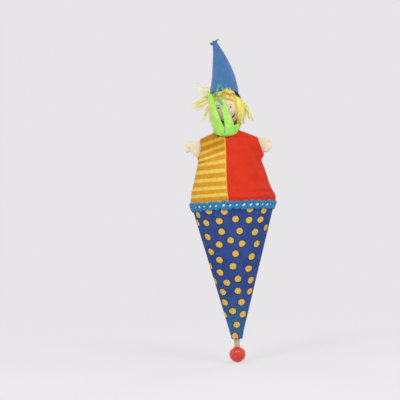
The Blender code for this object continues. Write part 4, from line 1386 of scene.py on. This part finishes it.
HAT_BASE = np.array([-2.3, 1.4, HEAD_Z + 14.5])
HAT_HEIGHT = 49.1
HAT_BASE_RADIUS = 13.2
HAT_TIP_RADIUS = 1.7
HAT_BULGE = 1.36
HAT_TILT = math.radians(3.0)
HAT_LEAN = 7.3
HAT_SWAY = 0.6
HAT_COLUMNS = 144
FELT = 1.2
LINING_DROP = 6.4
LINING_TUCK = 1.4
LINING_TURN = math.radians(14.0)
LINING_SECTION = [
    (0.16, 1.4), (0.1, 1.4), (0.05, 1.4), (0.0, 1.3), (0.0, 1.8), (0.05, 1.95), (0.1, 1.95), (0.16, 1.95),
]
TIP_SHARE = 0.985
TIP_TURNS = 3
TIP_COIL_RADIUS = 2.25
TIP_KNOT = np.array([-2.5, -1.2, -2.0])
TIP_THREAD_ENDS = [(-4.2, -0.6, -2.6), (4.2, -0.4, 1.9)]


def hat_points(share, turn, sink):
    """Points of the leaning hat at a share of its height, sunk inwards by some thickness."""
    radius = HAT_TIP_RADIUS + (HAT_BASE_RADIUS - HAT_TIP_RADIUS) * (1 - share ** HAT_BULGE) - sink
    tilt = HAT_TILT * (1 - share)
    back = radius * np.sin(turn)
    middle_x = HAT_BASE[0] - HAT_LEAN * share ** 2 + HAT_SWAY * np.sin(math.pi * share)
    return xyz(
        middle_x + radius * np.cos(turn),
        HAT_BASE[1] * (1 - share / 2) + back * np.cos(tilt),
        HAT_BASE[2] + HAT_HEIGHT * share - back * np.sin(tilt),
    )


def build_hat():
    """Felt hat, soft and a little dented, with a sewn seam behind."""
    turn = circle(HAT_COLUMNS)
    outer = [(share, 0.0) for share in np.linspace(1.0, 0.012, 84)]
    edge = [(0.004, 0.15), (0.0, 0.4), (0.0, FELT - 0.4), (0.004, FELT - 0.15)]
    inner = [(share, FELT) for share in np.linspace(0.012, 0.84, 40)]
    share, sink = np.array(outer + edge + inner).T[:, :, None]
    points = hat_points(share, turn, sink)
    dents = 0.34 * roughen(points, 13.0, 51) + 0.14 * roughen(points, 4.0, 52)
    dents = dents * ease(share, 0.0, 0.08) * (1 - ease(share, 0.9, 1.0))
    seam = -0.5 * fade((turn - math.pi / 2) * 9 * (1.2 - share), 1.0) * ease(share, 0.0, 0.05)
    points = points + (dents + seam)[:, :, None] * around(1.0, turn, 0.0)
    look = felt_look("blue_felt", colour(57, 105, 154), colour(71, 118, 168), 0.2)
    hat = add_piece("hat_felt", tube(points), look, ["hat"], "puppet")
    build_hat_band()
    build_tip_tie()


def build_hat_band():
    """Dark felt band inside the edge, which hangs out a little on the red side. It is partly a real band
    and partly painted shade: a dark sheet for the shade inside the hat's edge.
    """
    turn = circle(HAT_COLUMNS)
    share, sink = np.array(LINING_SECTION).T[:, :, None]
    hanging = share == 0.0
    drop = LINING_DROP * ease(np.cos(turn + LINING_TURN), 0.5, 0.98)
    stand_off = (0.62 + 0.55 * ease(-np.sin(turn), 0.0, 0.8)) * positive(drop - LINING_TUCK)
    points = hat_points(share, turn, sink)
    points[:, :, 2] += hanging * (LINING_TUCK - drop)
    points += (hanging * stand_off)[:, :, None] * around(1.0, turn, 0.0)
    # Dark felt colour, partly painted shade of the hat's inside
    look = felt_look("dark_felt", colour(22, 24, 38), colour(40, 42, 58), 0.14)
    band = grid(points, wrap_rows=True, wrap_columns=True)
    add_piece("hat_inner_band_felt", band, look, ["hat_inner_band"], "puppet")


def tip_frays(tip):
    """Frayed ends of the thread at the tip of the hat."""
    rng = np.random.default_rng(61)
    paths = []
    for end in TIP_THREAD_ENDS:
        start = tip + (math.copysign(1.6, end[0]), -0.8, math.copysign(1.0, end[2]) - 0.6)
        for _ in range(11):
            root = start + rng.normal(0, 0.3, 3)
            stop = tip + np.array(end) * rng.uniform(0.65, 1.1) + rng.normal(0, 0.55, 3)
            bend = (root + stop) / 2 + (0.0, 0.0, 0.7) + rng.normal(0, 0.35, 3)
            paths.append(bezier(10, root, bend, stop))
    return paths


def build_tip_tie():
    """Dark thread wound and knotted round the tip, with frayed ends."""
    tip = hat_points(TIP_SHARE, circle(24), 0.0).mean(axis=0)
    t = shares(110)
    angle = 2 * math.pi * TIP_TURNS * t
    coil = tip + around(TIP_COIL_RADIUS, angle, 1.5 * t - 1.6 + 1.1 * np.cos(angle))
    loop = np.linspace(0.0, 2 * math.pi, 90)
    knot = tip + TIP_KNOT + 0.4 * xyz(
        np.sin(loop) + 2 * np.sin(2 * loop), -np.sin(3 * loop), np.cos(loop) - 2 * np.cos(2 * loop)
    )
    shapes = [tubes([coil], 0.32, 8), tubes(tip_frays(tip), 0.11, 5), tubes([knot], 0.4, 8)]
    look = thread_look("dark_thread", colour(50, 84, 128), colour(88, 116, 154))
    tie = join_shapes(shapes)
    add_piece("hat_tip_tie_thread", tie, look, ["hat_tip_tie"], "puppet")


# Ribbon. Stations of a tail are x, y, z and width.

RIBBON = 0.4
TAIL_THICKNESS = 0.35
COLLAR_X = -1.6
COLLAR_RADIUS = 12.6
COLLAR_WIDTH = 9.0
COLLAR_LOW_Z = 204.6
COLLAR_LOW_DIP = 5.4
COLLAR_HIGH_Z = 211.3
COLLAR_HIGH_DIP = 2.6
KNOT_PLACE = (-3.4, -13.5, 203.6)
KNOT_HALF_SIZE = (3.4, 1.3, 3.7)
KNOT_POWER = 0.7
KNOT_THREAD_Z = 204.5
KNOT_THREAD_X = (-0.35, 0.3)
KNOT_THREAD_HALF_SIZE = (0.7, 1.6, 2.9)
LEFT_TAIL = [
    (-7.8, -11.2, 199.8, 7.6), (-8.6, -12.0, 203.4, 9.4), (-9.1, -12.8, 207.4, 9.2),
    (-10.2, -13.6, 212.0, 7.2), (-11.4, -14.4, 218.0, 5.8), (-12.6, -14.8, 225.0, 4.6),
    (-14.0, -14.8, 231.0, 4.4), (-15.6, -14.4, 238.4, 3.8),
]
RIGHT_TAIL = [
    (0.8, -12.6, 199.6, 7.4), (1.0, -13.6, 202.6, 8.6), (0.9, -14.4, 207.0, 8.8), (0.5, -15.0, 211.0, 8.2),
    (-0.6, -15.6, 216.0, 7.0), (-2.1, -16.0, 221.0, 5.8), (-3.7, -16.2, 227.0, 4.6),
    (-5.0, -16.0, 232.6, 3.8),
]
TEAL_ROUTE = [
    (-5.0, -17.0, 227.6), (-6.4, -17.2, 230.2), (-8.3, -17.3, 233.2), (-9.6, -17.2, 237.0),
    (-9.2, -16.8, 240.2), (-8.0, -16.2, 242.8),
]
TEAL_FRAYS = 9
TEAL_FRAY_ENDS = [(-9.4, -16.2, 246.6), (-4.4, -16.2, 246.6)]
TEAL_STRAND_TURNS = 4.5


def build_collar(look):
    """Wide ribbon round the neck, standing out like a shallow cup and lower in front."""
    angle = circle(180)
    share = shares(20)[:, None]
    front, back = positive(-np.sin(angle)), positive(np.sin(angle))
    left, right = positive(-np.cos(angle)), positive(np.cos(angle))
    low = COLLAR_LOW_Z - COLLAR_LOW_DIP * front ** 1.9 - left - 0.6 * right
    high = COLLAR_HIGH_Z - COLLAR_HIGH_DIP * front ** 2 + 0.35 * np.cos(3 * angle + 0.8)
    flare = (0.5 + 1.3 * right ** 4) * (1 - share) ** 1.4
    swell = 0.3 * np.sin(math.pi * share) + 0.14 * np.sin(6 * angle + 4 * share)
    pinch = 0.5 * fade(angle - math.radians(263.0), 0.16)
    folds = 0.18 * np.cos(5 * math.pi * share) * fade(angle - 4.6, 0.5)
    radius = COLLAR_RADIUS - flare - 0.7 * back + swell - pinch + folds
    depth = signed_power(np.sin(angle), 0.78)
    points = xyz(radius * np.cos(angle) + COLLAR_X, radius * depth, low + (high - low) * share)
    add_piece(
        "neck_ribbon_satin", grid(points, wrap_columns=True), look, ["neck_ribbon"],
        "puppet", inside=(0, 0, 206), cloth=xyz(share * COLLAR_WIDTH, angle * 12.0, 0.0), thickness=RIBBON,
    )


def build_tail(side, stations, look, seed, tip_slant, turn_out):
    """One free end of the ribbon, standing up before the face."""
    stations = np.array(stations)
    route = curve_through(stations[:, :3], 72)
    share = shares(len(route))[:, None]
    along = unit(np.gradient(route, axis=0))
    yaw = turn_out * (1 - ease(share[:, 0], 0.1, 0.8))
    across = unit(np.cross(along, xyz(np.sin(yaw), np.cos(yaw), 0.0)))
    through = np.cross(across, along)
    width = np.interp(route[:, 2], stations[:, 2], stations[:, 3]) / np.maximum(np.abs(across[:, 0]), 0.5)
    place = np.linspace(-0.5, 0.5, 17)
    sideways = place * width[:, None]
    cup_depth = 0.35 * (1 - 4 * place ** 2) + 0.16 * np.sin(9 * place + 4 * share)
    points = route[:, None] + across[:, None] * sideways[..., None]
    points -= through[:, None] * cup_depth[..., None]
    points[..., 1] += 0.16 * roughen(points, 3.0, seed)
    length = lengths_along(route)[:, None]
    foot = 1 - ease(length, 0.0, 7.0)
    end = ease(length, length[-1] - 5.0, length[-1])
    points[..., 2] += foot * 0.03 * (points[..., 0] - KNOT_PLACE[0]) ** 2 + end * sideways * tip_slant
    node = "ribbon_tail_" + SIDE_WORDS[side]
    add_piece(
        node + "_satin", grid(points), look, [node], "puppet",
        inside=(0, 0, 218), cloth=xyz(sideways, length, 0.0), thickness=TAIL_THICKNESS,
    )


def build_knot(look):
    """Small fold that gathers the ribbon in front."""
    polar = np.linspace(0.04, math.pi - 0.04, 40)[:, None]
    turn = circle(60)
    ring = np.sin(polar) ** KNOT_POWER * (1 + 0.06 * np.cos(9 * turn + 2.0) * np.sin(polar))
    ball = xyz(signed_power(np.cos(polar), KNOT_POWER), ring * np.cos(turn), ring * np.sin(turn))
    points = KNOT_PLACE + ball * KNOT_HALF_SIZE
    flat = xyz(points[..., 0], points[..., 2], 0.0)
    add_piece("ribbon_knot_satin", tube(points), look, ["ribbon_knot"], "puppet", cloth=flat)


def build_knot_thread():
    """Pale blue thread tied round the knot."""
    loop = np.linspace(0.0, 2 * math.pi, 64)
    middle_x = KNOT_PLACE[0] + np.array(KNOT_THREAD_X)[:, None]
    lean, half_depth, half_height = KNOT_THREAD_HALF_SIZE
    paths = xyz(
        middle_x - lean * np.sin(loop),
        KNOT_PLACE[1] - half_depth * np.cos(loop),
        KNOT_THREAD_Z + half_height * np.sin(loop),
    )
    look = thread_look("pale_blue_thread", colour(136, 190, 204), colour(172, 216, 222))
    add_piece("ribbon_knot_thread", tubes(paths, 0.24, 8), look, ["ribbon_knot"], "puppet")


def teal_frays(start):
    """Loose fibres at the end of the teal twist."""
    rng = np.random.default_rng(81)
    paths = []
    for end in np.linspace(*TEAL_FRAY_ENDS, TEAL_FRAYS):
        root = start + rng.normal(0, 0.25, 3)
        stop = end + rng.normal(0, 0.5, 3)
        bend = (root + stop) / 2 + (rng.normal(0, 0.6), -0.5, 0.6)
        paths.append(bezier(12, root, bend, stop))
    return paths


def build_teal_tip():
    """Twisted teal end of the ribbon on the red side, frayed at its tip."""
    steps = 90
    centre = curve_through(TEAL_ROUTE, steps)
    along = unit(np.gradient(centre, axis=0))
    across = np.cross(along, (0.0, 1.0, 0.0))
    up = np.cross(along, across)
    strands = []
    for start in circle(3):
        turn = (2 * math.pi * TEAL_STRAND_TURNS * shares(steps) + start)[:, None]
        strands.append(centre + 0.5 * (across * np.cos(turn) + up * np.sin(turn)))
    twist = join_shapes([tubes(strands, 0.48, 8), tubes(teal_frays(centre[-1]), 0.17, 6)])
    look = thread_look("teal_twist", colour(74, 158, 128), colour(112, 196, 150))
    node = "ribbon_tail_red_side"
    add_piece(node + "_twist", twist, look, [node], "puppet")


def build_ribbon():
    look = ribbon_look()
    build_collar(look)
    build_tail(-1, LEFT_TAIL, look, 71, tip_slant=0.4, turn_out=0.75)
    build_tail(1, RIGHT_TAIL, look, 73, tip_slant=-0.2, turn_out=-0.1)
    build_knot(look)
    build_knot_thread()
    build_teal_tip()


# Studio. Each lamp is its name, place on the red side, size and power; its twin is on the other side.

BACKGROUND_TONE = colour(231, 229, 232)
AMBIENT_LIGHT = 0.5
LAMP_TARGET = Vector((0.0, 0.0, 150.0))
LAMPS = [
    ("key", (480.0, -1100.0, 950.0), 350.0, 5.1),
    ("fill", (1300.0, -500.0, 500.0), 1300.0, 4.1),
    ("back", (700.0, 1250.0, 800.0), 600.0, 3.6),
]
FLOOR_RADII = [0.0, 150.0, 300.0, 600.0, 1200.0, 4000.0, 20000.0]
FLOOR_SHADE_REACH = (0.1, 0.8)
FLOOR_SHADE = 0.4


def paper_look():
    """Matt white paper that the camera sees fade into the background's even tone away from the puppet."""
    look = Look("studio_paper", base_color=colour(238, 237, 239), roughness=0.9, specular_ior_level=0.1)
    places = look.node("ShaderNodeNewGeometry", {}).outputs["Position"]
    away = look.node("ShaderNodeVectorMath", {0: places}, operation="LENGTH").outputs["Value"]
    near = look.one_minus(look.step(away, *FLOOR_SHADE_REACH))
    share = look.times(look.one_minus(look.times(near, FLOOR_SHADE)), look.seen_directly())
    even = look.node("ShaderNodeEmission", {"Color": BACKGROUND_TONE}).outputs["Emission"]
    look.show_blend("Material Output", share, look.shader.outputs["BSDF"], even)
    return look.material


def build_stage():
    """Wide pale floor under the puppet, to be seen from any side."""
    outline = [(radius, FLOOR_Z) for radius in FLOOR_RADII] + [(0.0, FLOOR_Z - 1.0)]
    points, faces = turned(outline, 96)
    mesh = bpy.data.meshes.new("studio_floor")
    mesh.from_pydata((points * MM).tolist(), [], faces)
    mesh.materials.append(paper_look())
    add_object("studio_floor", mesh)


def add_lamp(name, place, size, power):
    """A soft square lamp aimed at the puppet, in millimetres and watts."""
    data = bpy.data.lights.new(name, "AREA")
    data.shape = "SQUARE"
    data.size = size * MM
    data.energy = power
    lamp = add_object(name, data)
    lamp.location = Vector(place) * MM
    lamp.rotation_euler = (LAMP_TARGET - Vector(place)).to_track_quat("-Z", "Y").to_euler()


def build_light():
    for name, (x, y, z), size, power in LAMPS:
        add_lamp(name + "_left", (-x, y, z), size, power)
        add_lamp(name + "_right", (x, y, z), size, power)
    build_world()


def build_world():
    """Even white light all round, which the camera sees as the pale background."""
    world = bpy.data.worlds.new("studio")
    bpy.context.scene.world = world
    world.use_nodes = True
    nodes = Nodes(world.node_tree)
    light = world.node_tree.nodes["Background"]
    light.inputs["Color"].default_value = (1.0, 1.0, 1.0, 1.0)
    light.inputs["Strength"].default_value = AMBIENT_LIGHT
    backdrop = nodes.node("ShaderNodeBackground", {"Color": BACKGROUND_TONE, "Strength": 1.0})
    nodes.show_blend(
        "World Output", nodes.seen_directly(), light.outputs["Background"], backdrop.outputs["Background"]
    )


def build_camera():
    """A long lens in front of the puppet, rolled by its lean in the photograph."""
    x, z = photo_place((PHOTO_SIDE / 2, PHOTO_SIDE / 2))
    target = Vector((x, 0.0, z)) * MM
    back = Vector((0.0, -math.cos(CAMERA_RISE), math.sin(CAMERA_RISE)))
    data = bpy.data.cameras.new("photo_view")
    data.sensor_width = 36.0
    data.lens = data.sensor_width * CAMERA_DISTANCE / (PHOTO_SIDE * MM_PER_PIXEL)
    data.clip_end = 20.0
    camera = add_object("photo_view", data)
    camera.location = target + back * CAMERA_DISTANCE * MM
    camera.rotation_euler = (-back).to_track_quat("-Z", "Y").to_euler()
    camera.rotation_euler.rotate_axis("Z", -PHOTO_LEAN)
    bpy.context.scene.camera = camera
    bpy.context.scene.view_settings.view_transform = "Standard"


build_camera()
build_light()
build_stage()
build_ball()
build_stick()
build_head()
build_face()
build_cone()
build_card()
build_braid()
build_dress()
build_hand(-1)
build_hand(1)
build_hair()
build_hat()
build_ribbon()
